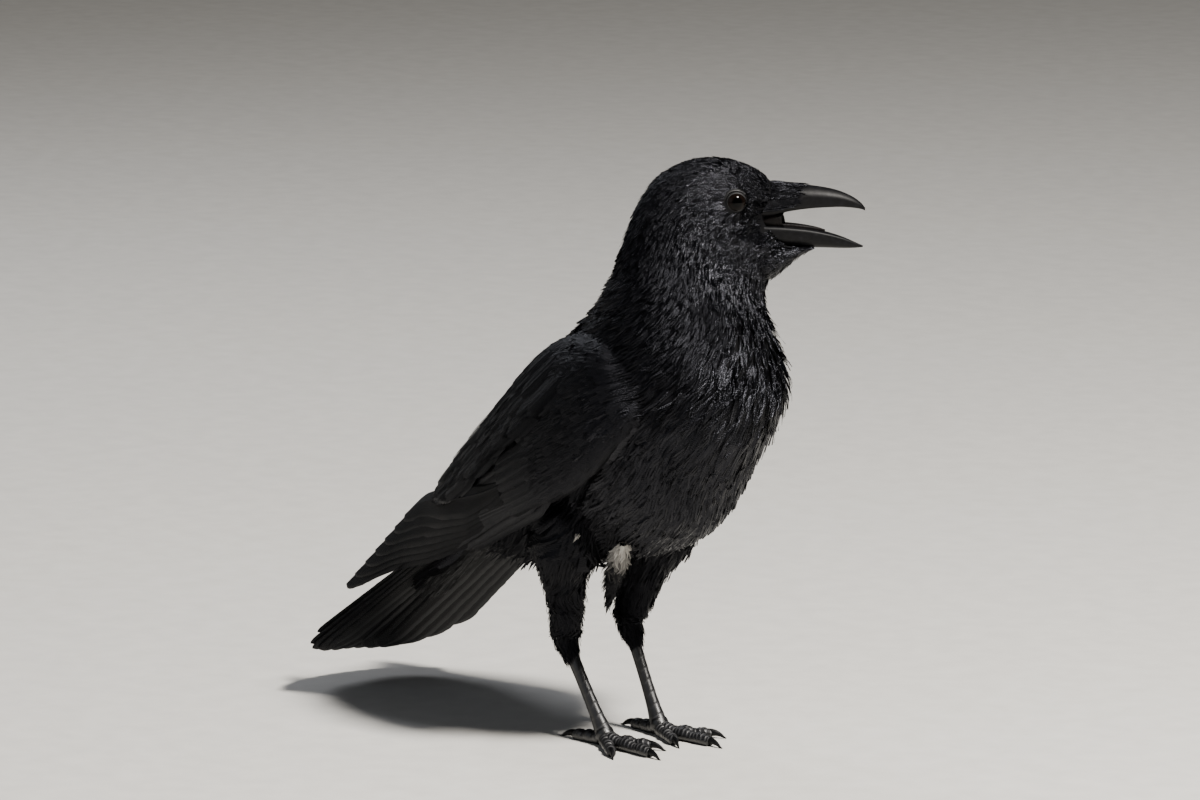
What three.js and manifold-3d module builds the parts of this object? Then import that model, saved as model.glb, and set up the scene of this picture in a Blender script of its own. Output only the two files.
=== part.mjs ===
// A carrion crow, life size, standing on flat ground and calling with its head turned to its left.
// Millimetres. +X is the way the body faces, +Y is the bird's left, +Z is up.
// The trunk, neck and head are one lofted form, parted with thin cuts. Wings, tail, legs and bill are set
// against it, each trimmed to leave a fitting gap. The finished group is moved so that the origin is the
// centre of the bird's footprint box, on the ground.
import * as THREE from 'three';
import { LoftGeometry } from 'three/addons/geometries/LoftGeometry.js';
import { mergeVertices } from 'three/addons/utils/BufferGeometryUtils.js';
import Module from 'manifold-3d';

const wasm = await Module();
wasm.setup();

// ---------------------------------------------------------------- driving dimensions

const GAP = 0.3; // clearance left between touching pieces
const RAD = Math.PI / 180;
const SIDES = { right: -1, left: 1 };

const BODY_PITCH = 37 * RAD; // slope of the trunk's axis above the ground
const BODY_MIDDLE = new THREE.Vector3(-15, 0, 150); // a point on that axis, over the feet
const NECK_X = 34; // the upright line that the neck and head turn about
const HEAD_TURN = 49 * RAD; // how far the head is turned to the bird's left

// Leg joints: forward, outward and up.
const KNEE = { right: [-18, 30, 118], left: [-17, 32, 118] };
const ANKLE = { right: [-38, 19, 54], left: [-34, 21, 57] };
const FOOT = { right: [-8, 17, 5.5], left: [-8, 20, 5.5] };

// ---------------------------------------------------------------- shape helpers

// A smooth value through evenly numbered stations: Catmull-Rom, with the end stations doubled.
function through(values, t) {
  const last = values.length - 1;
  const i = Math.min(Math.floor(t), last - 1);
  const f = t - i;
  const [a, b, c, d] = [-1, 0, 1, 2].map((k) => values[Math.max(0, Math.min(last, i + k))]);
  return 0.5 * (2 * b + (c - a) * f + (2 * a - 5 * b + 4 * c - d) * f * f + (3 * b - a - 3 * c + d) * f ** 3);
}

// Rings of an upper radius, a lower radius and a half width about a centre. The side is a unit vector to
// the form's left, and up and down are vectors from the centre to the ring's top and bottom.
function ring(centre, up, down, side, half, sides) {
  return Array.from({ length: sides }, (_, k) => {
    const angle = (k / sides) * 2 * Math.PI;
    const lift = Math.cos(angle);
    return centre
      .clone()
      .addScaledVector(lift > 0 ? up : down, Math.abs(lift))
      .addScaledVector(side, half * Math.sin(angle));
  });
}

const middleOf = (points) =>
  points.reduce((sum, p) => sum.add(p), new THREE.Vector3()).divideScalar(points.length);

// A closed solid from a lofted list of rings. Each ring must run anticlockwise seen from the far end, so
// rings listed the other way round are reversed.
function loft(rings) {
  const centre = middleOf(rings[0]);
  const along = middleOf(rings[1]).sub(centre);
  const first = rings[0][0].clone().sub(centre);
  const second = rings[0][1].clone().sub(centre);
  const listed = first.cross(second).dot(along) > 0 ? rings : rings.map((r) => r.toReversed());
  return solid(new LoftGeometry(listed, { capStart: true, capEnd: true }));
}

// A closed triangle surface as a body that can be joined and cut.
function solid(geometry) {
  const bare = new THREE.BufferGeometry();
  bare.setAttribute('position', geometry.getAttribute('position'));
  bare.setIndex(geometry.index);
  const merged = mergeVertices(bare, 1e-4);
  return new wasm.Manifold(
    new wasm.Mesh({
      numProp: 3,
      vertProperties: merged.attributes.position.array,
      triVerts: new Uint32Array(merged.index.array),
    }),
  );
}

// The biggest of the bodies that cutting left.
function largest(made) {
  return made.decompose().reduce((a, b) => (a.volume() > b.volume() ? a : b));
}

// A round-sectioned tapering limb through a list of points, with a radius at each.
function limb(points, radii, rows, sides, flatten = 1, grow = 0) {
  const path = new THREE.CatmullRomCurve3(points, false, 'centripetal');
  const up = new THREE.Vector3(0, 0, 1);
  const rings = Array.from({ length: rows + 1 }, (_, i) => {
    const t = i / rows;
    const along = path.getTangent(t);
    const side = new THREE.Vector3().crossVectors(up, along);
    if (side.length() < 1e-3) side.set(0, 1, 0);
    side.normalize();
    const radius = through(radii, t * (radii.length - 1)) + grow;
    const top = new THREE.Vector3().crossVectors(along, side).normalize().multiplyScalar(radius);
    return ring(path.getPoint(t), top, top.clone().negate(), side, radius * flatten, sides);
  });
  return loft(rings);
}

// ---------------------------------------------------------------- trunk, neck and head

// A place in the trunk's own frame: along its axis, out to the left, and towards the back.
function inTrunk(along, out, high) {
  return new THREE.Vector3(
    BODY_MIDDLE.x + along * Math.cos(BODY_PITCH) - high * Math.sin(BODY_PITCH),
    out,
    BODY_MIDDLE.z + along * Math.sin(BODY_PITCH) + high * Math.cos(BODY_PITCH),
  );
}

// A place in a plane through the neck's turning line: forward of it, up, and a turn to the left.
function inNeck(forward, up, turn, out = 0) {
  return new THREE.Vector3(
    NECK_X + forward * Math.cos(turn) - out * Math.sin(turn),
    forward * Math.sin(turn) + out * Math.cos(turn),
    up,
  );
}

// Trunk stations, tail end first: along the axis, back and belly above it, and half the width.
const TRUNK = [
  { along: -128, back: 24, belly: 12, half: 14 },
  { along: -112, back: 31, belly: 4, half: 22 },
  { along: -88, back: 41, belly: -13, half: 33 },
  { along: -60, back: 51, belly: -34, half: 41 },
  { along: -30, back: 58, belly: -47, half: 46 },
  { along: 0, back: 62, belly: -60, half: 48.5 },
  { along: 30, back: 64, belly: -64, half: 49 },
];

// Neck and head stations in the turning plane: back and throat points as [forward, up], half width, turn.
const NECK = [
  { back: [-52, 229], throat: [33, 144.5], half: 48.5, turn: 0 },
  { back: [-46, 235], throat: [48, 165], half: 47, turn: 7 },
  { back: [-42, 240], throat: [55, 185], half: 44, turn: 17 },
  { back: [-38, 246], throat: [51, 204], half: 39.5, turn: 29 },
  { back: [-34, 255], throat: [45, 219], half: 34, turn: 40 },
  { back: [-30, 268], throat: [41, 229], half: 29, turn: 47 },
];
const HEAD = [
  { back: [-24, 282.5], throat: [41, 236], half: 25.5, turn: 49 },
  { back: [-14, 296], throat: [43, 241], half: 23, turn: 49 },
  { back: [3, 304.5], throat: [46, 246], half: 20.8, turn: 49 },
  { back: [20, 305], throat: [48.5, 251], half: 18, turn: 49 },
  { back: [34, 300.5], throat: [50.5, 256], half: 13.6, turn: 49 },
  { back: [42.5, 294.5], throat: [51, 261], half: 9.6, turn: 49 },
];
const BODY_ROWS_PER_STATION = 2;
const BODY_SIDES = 24;
const END_DOME = [0.86, 0.5]; // shrinking of the two rings that round off each end
const END_DEPTH = [2.2, 3.4]; // how far those rings stand out

const stations = [
  ...TRUNK.map((s) => ({
    top: inTrunk(s.along, 0, s.back),
    bottom: inTrunk(s.along, 0, s.belly),
    half: s.half,
    turn: 0,
  })),
  ...[...NECK, ...HEAD].map((s) => ({
    top: inNeck(...s.back, s.turn * RAD),
    bottom: inNeck(...s.throat, s.turn * RAD),
    half: s.half,
    turn: s.turn * RAD,
  })),
];

// One ring of the body at a station number, which may lie between two stations.
function bodyRing(t, grow) {
  const read = (pick) => through(stations.map(pick), t);
  const top = new THREE.Vector3(read((s) => s.top.x), read((s) => s.top.y), read((s) => s.top.z));
  const bottom = new THREE.Vector3(read((s) => s.bottom.x), read((s) => s.bottom.y), read((s) => s.bottom.z));
  const turn = read((s) => s.turn);
  const centre = top.clone().lerp(bottom, 0.5);
  const up = top.clone().sub(centre);
  up.setLength(up.length() + grow);
  const side = new THREE.Vector3(-Math.sin(turn), Math.cos(turn), 0);
  return { centre, up, side, half: read((s) => s.half) + grow };
}

// The whole trunk, neck and head, with both ends rounded off. Growing it makes a tool for cutting others.
function bodyForm(grow = 0) {
  const last = stations.length - 1;
  const rows = Array.from({ length: last * BODY_ROWS_PER_STATION + 1 }, (_, i) => i / BODY_ROWS_PER_STATION);
  const asRing = ({ centre, up, side, half }) =>
    ring(centre, up, up.clone().negate(), side, half, BODY_SIDES);
  const dome = (t, outward) => {
    const r = bodyRing(t, grow);
    const normal = new THREE.Vector3().crossVectors(r.side, r.up).normalize().multiplyScalar(outward);
    return END_DOME.map((shrink, i) => ({
      centre: r.centre.clone().addScaledVector(normal, END_DEPTH[i]),
      up: r.up.clone().multiplyScalar(shrink),
      side: r.side,
      half: r.half * shrink,
    }));
  };
  return loft([
    ...dome(0, -1).reverse().map(asRing),
    ...rows.map((t) => asRing(bodyRing(t, grow))),
    ...dome(last, 1).map(asRing),
  ]);
}

// The feathered chin, a tongue of the throat that runs forward under the lower bill.
function chinForm(grow = 0) {
  const CHIN = [
    { at: 30, top: 266, low: 244, half: 14 },
    { at: 42, top: 264, low: 240.5, half: 12.5 },
    { at: 51, top: 262.5, low: 247.6, half: 10.4 },
    { at: 58.5, top: 261.5, low: 254.8, half: 8 },
    { at: 65.5, top: 261, low: 258.6, half: 3.5 },
  ];
  const turned = new THREE.Vector3(-Math.sin(HEAD_TURN), Math.cos(HEAD_TURN), 0);
  return loft(
    CHIN.map(({ at, top, low, half }) => {
      const up = new THREE.Vector3(0, 0, (top - low) / 2 + grow);
      return ring(inNeck(at, (top + low) / 2, HEAD_TURN), up, up.clone().negate(), turned, half + grow, 12);
    }),
  );
}

// A cutting plane square to the body at a station: its normal, pointing headward, and its offset.
function planeAt(t) {
  const r = bodyRing(t, 0);
  const normal = new THREE.Vector3().crossVectors(r.side, r.up).normalize();
  return { normal, offset: normal.dot(r.centre) };
}

// What lies headward of a cut, or tailward of it, each half a gap away.
const headward = (made, t) => {
  const { normal, offset } = planeAt(t);
  return made.trimByPlane(normal.toArray(), offset + GAP / 2);
};
const tailward = (made, t) => {
  const { normal, offset } = planeAt(t);
  return made.trimByPlane(normal.clone().negate().toArray(), -offset + GAP / 2);
};

// ---------------------------------------------------------------- bill, tongue and eyes

// A bill half: rings square to the head's forward line, from a list of stations along it.
function billForm(list, grow = 0) {
  const turned = new THREE.Vector3(-Math.sin(HEAD_TURN), Math.cos(HEAD_TURN), 0);
  return loft(
    list.map(({ at, top, low, half }) => {
      const up = new THREE.Vector3(0, 0, (top - low) / 2 + grow);
      return ring(inNeck(at, (top + low) / 2, HEAD_TURN), up, up.clone().negate(), turned, half + grow, 12);
    }),
  );
}

const UPPER_BILL = [
  { at: 34, top: 291, low: 275, half: 8.2 },
  { at: 43, top: 293, low: 275.8, half: 8.2 },
  { at: 52, top: 292, low: 278, half: 7.4 },
  { at: 62, top: 291.4, low: 279.4, half: 6.3 },
  { at: 71, top: 290.1, low: 280, half: 5.2 },
  { at: 78, top: 288.2, low: 280.2, half: 4 },
  { at: 84, top: 285.4, low: 279.8, half: 2.8 },
  { at: 88, top: 282.4, low: 279.2, half: 1.6 },
  { at: 90, top: 279.9, low: 278.4, half: 0.6 },
];
const LOWER_BILL = [
  { at: 34, top: 272.4, low: 260.4, half: 7.6 },
  { at: 43, top: 272, low: 260.2, half: 7.4 },
  { at: 53, top: 271.2, low: 260, half: 6.6 },
  { at: 63, top: 269.8, low: 259.9, half: 5.5 },
  { at: 72, top: 267.6, low: 259.7, half: 4.2 },
  { at: 79, top: 265.3, low: 259.5, half: 3 },
  { at: 85, top: 262.6, low: 259.6, half: 1.7 },
  { at: 89, top: 260.8, low: 260, half: 0.6 },
];
// The tongue lies in a trough along the lower bill.
const TONGUE = [
  { at: 40, top: 273.4, low: 268.6, half: 3.6 },
  { at: 52, top: 273, low: 268.4, half: 3.4 },
  { at: 62, top: 271.8, low: 268, half: 2.6 },
  { at: 70, top: 269.6, low: 267.4, half: 1 },
];

const EYE_RADIUS = 6.4;
const EYE = { forward: 24.6, up: 285.6, out: 15 };

function eyeForm(side, grow = 0) {
  const place = inNeck(EYE.forward, EYE.up, HEAD_TURN, side * EYE.out);
  const ball = new THREE.SphereGeometry(EYE_RADIUS + grow, 11, 7);
  return solid(ball.translate(...place.toArray()));
}

// ---------------------------------------------------------------- wings

// Folded wing stations, wrist first, in the trunk's frame: centre, half height, half thickness and lean.
const WING = [
  { along: 78, high: 5, out: 39, tall: 12, thick: 8, lean: 5 },
  { along: 68, high: 8, out: 41, tall: 24, thick: 14, lean: 10 },
  { along: 47, high: 12, out: 42, tall: 36, thick: 17, lean: 17 },
  { along: 18, high: 15, out: 41, tall: 43, thick: 18, lean: 22 },
  { along: -15, high: 18, out: 39, tall: 43, thick: 17, lean: 28 },
  { along: -50, high: 22, out: 36, tall: 38, thick: 14, lean: 32 },
  { along: -85, high: 26, out: 33, tall: 33, thick: 10.5, lean: 36 },
  { along: -115, high: 28, out: 31, tall: 29, thick: 7.5, lean: 39 },
];
const PRIMARIES = 7; // feathers that show beyond the tertials
const PRIMARY_STEP = 9.5; // how far each tip falls short of the next
const WING_TIP = { along: -200, high: 33, out: 33 };
const VANE = 1; // thickness of one long feather's plate

function wingForm(side, grow = 0) {
  const rows = (WING.length - 1) * 2;
  return loft(
    Array.from({ length: rows + 1 }, (_, i) => {
      const t = i / 2;
      const read = (key) => through(WING.map((s) => s[key]), t);
      const lean = read('lean') * RAD;
      const tall = read('tall') + grow;
      const centre = inTrunk(read('along'), side * read('out'), read('high'));
      const origin = inTrunk(0, 0, 0);
      const up = inTrunk(0, -side * Math.sin(lean) * tall, Math.cos(lean) * tall).sub(origin);
      const outward = inTrunk(0, side * Math.cos(lean), Math.sin(lean)).sub(origin).normalize();
      return ring(centre, up, up.clone().negate(), outward, read('thick') + grow, 12);
    }),
  );
}

// A long feather as a thin plate: its root at the origin, its tip at +X, its vane across Y.
function vanePlate(length, width, thickness) {
  const half = width / 2;
  const outline = new THREE.Shape();
  outline.moveTo(0, -half * 0.45);
  outline.quadraticCurveTo(length * 0.35, -half * 1.05, length * 0.82, -half * 0.92);
  outline.quadraticCurveTo(length * 0.97, -half * 0.75, length, 0);
  outline.quadraticCurveTo(length * 0.97, half * 0.75, length * 0.82, half * 0.92);
  outline.quadraticCurveTo(length * 0.35, half * 1.05, 0, half * 0.45);
  const plate = new THREE.ExtrudeGeometry(outline, { depth: thickness, bevelEnabled: false, curveSegments: 2 });
  return plate.translate(0, 0, -thickness / 2);
}

// A plate laid from a root to a tip, with its flat side facing a given way.
function layPlate(plate, root, tip, facing) {
  const along = tip.clone().sub(root).normalize();
  const across = new THREE.Vector3().crossVectors(facing, along).normalize();
  const normal = new THREE.Vector3().crossVectors(along, across);
  const frame = new THREE.Matrix4().makeBasis(along, across, normal).setPosition(root);
  return solid(plate.clone().applyMatrix4(frame));
}

// The stacked tips of the primaries, the longest lowest and outermost.
function primariesForm(side) {
  const origin = inTrunk(0, 0, 0);
  const lean = 42 * RAD;
  const facing = inTrunk(0, side * Math.cos(lean), Math.sin(lean)).sub(origin);
  const plates = Array.from({ length: PRIMARIES }, (_, i) => {
    const high = i * 2.7; // towards the back for each inner feather
    const deep = i * (VANE - 0.35); // each inner feather lies over the outer one
    const lay = (along, tall, out) =>
      inTrunk(
        along,
        side * (out - Math.sin(lean) * tall + Math.cos(lean) * deep),
        (along > -100 ? 24 : WING_TIP.high) + Math.cos(lean) * tall + Math.sin(lean) * deep,
      );
    const root = lay(-70, -17 + high * 0.9, WING_TIP.out);
    const tip = lay(WING_TIP.along + i * PRIMARY_STEP, high * 0.55 + 1, WING_TIP.out);
    return layPlate(vanePlate(root.distanceTo(tip), 17, VANE), root, tip, facing);
  });
  return wasm.Manifold.union(plates);
}

// ---------------------------------------------------------------- tail

const RECTRICES = 12;
const TAIL = { root: [-66, 17], tip: [-247, 17], feather: 26, spread: 3.6, fan: 7.1, turn: -2.3 };
const TAIL_ROLL = 0.09; // how far the right edge is lifted for each millimetre outward
const TAIL_ROUNDING = 26; // how much shorter the outermost feathers are

// The closed tail: six feathers a side, the middle pair on top and longest.
function tailForm() {
  const root = inTrunk(TAIL.root[0], 0, TAIL.root[1]);
  const straight = TAIL.root[0] - TAIL.tip[0];
  const origin = inTrunk(0, 0, 0);
  const plates = Array.from({ length: RECTRICES }, (_, i) => {
    const place = i - (RECTRICES - 1) / 2; // from the right edge to the left
    const edge = Math.abs(place) / ((RECTRICES - 1) / 2);
    const fan = ((place / ((RECTRICES - 1) / 2)) * TAIL.fan + TAIL.turn) * RAD;
    const length = straight - TAIL_ROUNDING * edge ** 4;
    const sink = -Math.abs(place) * (VANE - 0.45);
    const rootOut = place * TAIL.spread;
    const tipOut = rootOut + length * Math.sin(fan);
    const rootHigh = TAIL.root[1] - Math.abs(place) * 0.4 - TAIL_ROLL * rootOut;
    const start = inTrunk(TAIL.root[0], rootOut, rootHigh);
    const end = inTrunk(TAIL.root[0] - length * Math.cos(fan), tipOut, TAIL.tip[1] + sink - TAIL_ROLL * tipOut);
    const tilt = -Math.sign(place) * edge * 10 * RAD - Math.atan(TAIL_ROLL);
    const facing = inTrunk(0, -Math.sin(tilt), Math.cos(tilt)).sub(origin);
    return layPlate(vanePlate(start.distanceTo(end), TAIL.feather, VANE), start, end, facing);
  });
  const quills = limb(
    [root, inTrunk(TAIL.root[0] - 70, 0, TAIL.root[1] - 1.2)],
    [9, 3],
    4,
    12,
    1.8,
  );
  return wasm.Manifold.union([...plates, quills]);
}

// ---------------------------------------------------------------- legs and feet

const place = ([forward, out, up], side) => new THREE.Vector3(forward, side * out, up);

function thighForm(name, side, grow = 0) {
  const [knee, ankle] = [place(KNEE[name], side), place(ANKLE[name], side)];
  const shift = (t, forward, down) =>
    knee.clone().lerp(ankle, t).add(new THREE.Vector3(forward, 0, down));
  const loose = name === 'right' ? -4 : 2; // the loose feathers at the top hang behind one leg, ahead of the other
  const points = [
    shift(0, 0, 0),
    shift(0.26, 0.7 * loose, 0),
    shift(0.52, 0.6 * loose, 0),
    shift(0.78, 1, 0),
    shift(1, 2, 0),
    shift(1, 6.5, -12),
  ];
  return limb(points, [21, 20, 13, 9.8, 8.2, 4.7], 9, 10, 0.9, grow);
}

const SHANK_RADII = [4.2, 3.6, 3.3, 3.6, 4.9];

function shankForm(name, side, grow = 0) {
  const ankle = place(ANKLE[name], side);
  const foot = place(FOOT[name], side);
  return limb([ankle, ankle.clone().lerp(foot, 0.5), foot], SHANK_RADII, 5, 9, 0.85, grow);
}

// Toes: direction from straight ahead, turned outward; length to the claw, thickness and claw length.
const TOES = {
  middle: { turn: 3, long: 37, thick: 3.6, claw: 12 },
  inner: { turn: -24, long: 26, thick: 3.4, claw: 11.5 },
  outer: { turn: 34, long: 28, thick: 3.2, claw: 10.5 },
  hind: { turn: 176, long: 21, thick: 3.6, claw: 15 },
};
const TOE_ROWS = 6; // pads swell the odd rows
const PAD_SWELL = 0.1;
const TOE_TAPER = 0.28;
const TOE_DIP = 0.4; // how far the pads reach below the ground before they are cut flat

function toeFrame(toe, name) {
  const turn = SIDES[name] * toe.turn * RAD;
  const forward = new THREE.Vector3(Math.cos(turn), Math.sin(turn), 0);
  const heel = place(FOOT[name], SIDES[name]).setZ(0);
  return { forward, heel };
}

function toeForm(toe, name, grow = 0) {
  const { forward, heel } = toeFrame(toe, name);
  const radii = Array.from({ length: TOE_ROWS + 1 }, (_, i) => {
    const swell = 1 + (i % 2 ? PAD_SWELL : -PAD_SWELL);
    return toe.thick * (1 - (TOE_TAPER * i) / TOE_ROWS) * swell;
  });
  const points = radii.map((radius, i) => {
    const up = i === 0 ? 5.2 : radius - TOE_DIP;
    return heel.clone().addScaledVector(forward, (toe.long * i) / TOE_ROWS).setZ(up);
  });
  return limb(points, radii, TOE_ROWS, 7, 1, grow).trimByPlane([0, 0, 1], 0);
}

// A claw: a cone that curves down from the toe's end to the ground.
function clawForm(toe, name, grow = 0) {
  const { forward, heel } = toeFrame(toe, name);
  const sweep = 62 * RAD;
  const bend = toe.claw / sweep;
  const start = toe.long - 1.5;
  const steps = 5;
  const points = Array.from({ length: steps + 1 }, (_, i) => {
    const angle = (i / steps) * sweep - 14 * RAD;
    const along = start + bend * (Math.sin(angle) + Math.sin(14 * RAD));
    const up = 2.6 + bend * (Math.cos(angle) - Math.cos(14 * RAD));
    return heel.clone().addScaledVector(forward, along).setZ(Math.max(up, 0.25));
  });
  return limb(points, [1.9, 1.6, 1.2, 0.7, 0.3], 4, 6, 0.8, grow).trimByPlane([0, 0, 1], 0);
}

// ---------------------------------------------------------------- pale down between the legs

function ventDownForm() {
  const points = [
    new THREE.Vector3(15, -24, 109),
    new THREE.Vector3(4, -18, 97),
    new THREE.Vector3(-7, -10, 84),
    new THREE.Vector3(-15, -5, 71),
  ];
  return limb(points, [6.5, 7.5, 5.5, 1.5], 7, 10);
}

// ---------------------------------------------------------------- assembly

const material = (color, roughness, metalness = 0) =>
  new THREE.MeshStandardMaterial({ color, roughness, metalness });
const PLUMAGE = material('#101114', 0.55);
const FLIGHT = material('#0e0f13', 0.42);
const HORN = material('#1a1b1e', 0.32);
const SCUTE = material('#1c1c1e', 0.45);
const IRIS = material('#120c09', 0.08);
const FLESH = material('#4a2f2f', 0.5);
const DOWN = material('#8d8b88', 0.9);

const crow = new THREE.Group();

function add(name, made, finish) {
  const { vertProperties, triVerts } = made.getMesh();
  const geometry = new THREE.BufferGeometry();
  geometry.setAttribute('position', new THREE.BufferAttribute(vertProperties, 3));
  geometry.setIndex(new THREE.BufferAttribute(triVerts, 1));
  geometry.computeVertexNormals();
  const mesh = new THREE.Mesh(geometry, finish);
  mesh.name = name;
  crow.add(mesh);
}

const NECK_CUT = TRUNK.length + 1.5; // stations where the trunk ends and where the head begins
const HEAD_CUT = TRUNK.length + NECK.length - 0.5;

const body = bodyForm();
const grown = bodyForm(GAP);
const bills = [billForm(UPPER_BILL, GAP), billForm(LOWER_BILL, GAP), billForm(TONGUE, GAP)];
const sockets = [...bills, eyeForm(-1, GAP), eyeForm(1, GAP)];
const head = headward(body, HEAD_CUT).add(chinForm()).subtract(wasm.Manifold.union(sockets));
add('head', largest(head), PLUMAGE);
add('neck', tailward(headward(body, NECK_CUT), HEAD_CUT).subtract(chinForm(GAP)), PLUMAGE);

add('bill_upper', billForm(UPPER_BILL), HORN);
add('bill_lower', billForm(LOWER_BILL).subtract(billForm(TONGUE, GAP)), HORN);
add('tongue', billForm(TONGUE), FLESH);

const trunk = tailward(body, NECK_CUT);
add('trunk', largest(trunk), PLUMAGE);

const tail = tailForm();
add('tail', largest(tail.subtract(grown)), FLIGHT);

for (const [name, side] of Object.entries(SIDES)) {
  add(`eye_${name}`, eyeForm(side), IRIS);

  const ownSide = (made) => made.trimByPlane([0, side, 0], GAP / 2);
  const wing = largest(ownSide(wingForm(side).subtract(grown).subtract(tail)));
  add(`wing_${name}`, wing, PLUMAGE);
  const tips = primariesForm(side).subtract(wingForm(side, GAP)).subtract(grown);
  add(`primaries_${name}`, largest(ownSide(tips)), FLIGHT);

  const thigh = thighForm(name, side);
  add(`thigh_${name}`, largest(thigh.subtract(grown).subtract(wingForm(side, GAP))), PLUMAGE);
  const shank = largest(shankForm(name, side).subtract(thighForm(name, side, GAP)));
  add(`shank_${name}`, shank.trimByPlane([0, 0, 1], GAP), SCUTE);

  let taken = shankForm(name, side, GAP);
  for (const [toeName, toe] of Object.entries(TOES)) {
    add(`toe_${toeName}_${name}`, largest(toeForm(toe, name).subtract(taken)), SCUTE);
    add(`claw_${toeName}_${name}`, largest(clawForm(toe, name).subtract(toeForm(toe, name, GAP))), HORN);
    taken = taken.add(toeForm(toe, name, GAP));
  }
}

const thighs = Object.entries(SIDES).map(([name, side]) => thighForm(name, side, GAP));
add('vent_down', largest(ventDownForm().subtract(grown).subtract(wasm.Manifold.union(thighs))), DOWN);

// The origin goes to the middle of the footprint box, on the ground.
const box = new THREE.Box3().setFromObject(crow);
const middle = box.getCenter(new THREE.Vector3());
crow.position.set(-middle.x, -middle.y, -box.min.z);

export default crow;
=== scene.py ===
import bpy
import numpy as np
from mathutils import Matrix


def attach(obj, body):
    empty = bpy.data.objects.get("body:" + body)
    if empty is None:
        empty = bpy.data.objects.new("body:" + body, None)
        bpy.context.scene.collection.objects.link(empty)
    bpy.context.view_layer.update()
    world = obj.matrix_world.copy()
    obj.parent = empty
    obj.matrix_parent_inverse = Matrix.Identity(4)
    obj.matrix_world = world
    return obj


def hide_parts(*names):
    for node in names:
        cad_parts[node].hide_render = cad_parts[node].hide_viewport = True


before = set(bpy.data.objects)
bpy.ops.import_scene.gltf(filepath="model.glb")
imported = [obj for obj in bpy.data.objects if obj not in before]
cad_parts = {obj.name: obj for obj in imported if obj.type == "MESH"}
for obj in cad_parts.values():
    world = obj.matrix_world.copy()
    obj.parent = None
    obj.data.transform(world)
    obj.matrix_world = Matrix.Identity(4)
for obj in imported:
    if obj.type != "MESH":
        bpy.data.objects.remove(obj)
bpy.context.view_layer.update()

# ---------------------------------------------------------------- the flesh under the plumage
# The body of the bird inside its coat: trunk, neck, head, chin, the upper legs in their muscle, the folded
# arms of the wings, the stump that carries the tail, and the soft mound between the legs. It is one bare
# skin, blended where the limbs join, and it lies a few millimetres inside the tips of the feathers.

TO_ROW = np.array([64.769, -2.052, 0.0])  # from between the feet to the middle of the part's box
PITCH = np.radians(37)  # slope of the trunk's axis
MIDDLE = np.array([-15.0, 0.0, 150.0])  # a point on that axis
NECK_X = 34.0  # the upright line that the neck and head turn about
HEAD_TURN = np.radians(49)
SIDES = {"right": -1, "left": 1}


def through(stations, t):
    """Smooth values through evenly numbered stations: a Catmull-Rom cubic with the end stations doubled,
    going straight on past either end."""
    stations = np.asarray(stations, float)
    last = len(stations) - 1
    t = np.asarray(t, float)
    within = np.clip(t, 0, last)
    i = np.clip(np.floor(within).astype(int), 0, last - 1)
    f, past = within - i, t - within
    if stations.ndim == 2:
        f, past = f[..., None], past[..., None]
    a, b, c, d = (stations[np.clip(i + k, 0, last)] for k in (-1, 0, 1, 2))
    smooth = 0.5 * (2 * b + (c - a) * f + (2 * a - 5 * b + 4 * c - d) * f**2 + (3 * b - a - 3 * c + d) * f**3)
    return smooth + past * 0.5 * (c - b)


def in_trunk(along, out, high):
    """A place in the trunk's frame: along its axis, out to the left, and towards the back."""
    along, out, high = np.broadcast_arrays(along, out, high)
    x = MIDDLE[0] + along * np.cos(PITCH) - high * np.sin(PITCH)
    z = MIDDLE[2] + along * np.sin(PITCH) + high * np.cos(PITCH)
    return np.stack([x, out * 1.0, z], axis=-1)


def in_neck(forward, up, turn, out=0.0):
    """A place in a plane through the neck's turning line: forward of it, up, turned left, and out of it."""
    forward, up, turn, out = np.broadcast_arrays(forward, up, turn, out)
    x = NECK_X + forward * np.cos(turn) - out * np.sin(turn)
    return np.stack([x, forward * np.sin(turn) + out * np.cos(turn), up * 1.0], axis=-1)


def unit(v):
    """Vectors at length one."""
    return v / np.maximum(np.linalg.norm(v, axis=-1, keepdims=True), 1e-9)


# Trunk stations, from over the tail forwards: along the axis, back and belly above it, and half the width.
TRUNK = np.array([
    [-205, 20, 13, 25], [-178, 21, 13, 22], [-152, 22.5, 13, 17],
    [-128, 24, 12, 14], [-112, 31, 4, 22], [-88, 41, -13, 33], [-60, 51, -34, 41], [-30, 58, -47, 46],
    [0, 62, -60, 48.5], [30, 64, -64, 49],
])
# Neck and head stations: the back's place forward and up, the throat's, half the width, and degrees turned.
NECK = np.array([
    [-52, 229, 33, 144.5, 48.5, 0], [-46, 235, 48, 165, 47, 7], [-42, 240, 55, 185, 44, 17],
    [-38, 246, 51, 204, 39.5, 29], [-34, 255, 45, 219, 34, 40], [-30, 268, 41, 229, 29, 47],
    [-24, 282.5, 40, 237, 25.5, 49], [-14, 296, 42, 243, 23, 49], [3, 304.5, 45, 248.5, 20.8, 49],
    [20, 305, 48, 252.5, 18, 49], [34, 300.5, 50.5, 256, 13.6, 49], [42.5, 294.5, 51, 261, 9.6, 49],
])
FACE_END = 21.0  # the station where the feathers meet the bill; station 0 is over the tail
TURNS = np.radians(NECK[:, 5])
BODY = np.concatenate([
    np.column_stack([in_trunk(TRUNK[:, 0], 0, TRUNK[:, 1]), in_trunk(TRUNK[:, 0], 0, TRUNK[:, 2]),
                     TRUNK[:, 3], np.zeros(len(TRUNK))]),
    np.column_stack([in_neck(NECK[:, 0], NECK[:, 1], TURNS), in_neck(NECK[:, 2], NECK[:, 3], TURNS),
                     NECK[:, 4], TURNS]),
])

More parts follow.
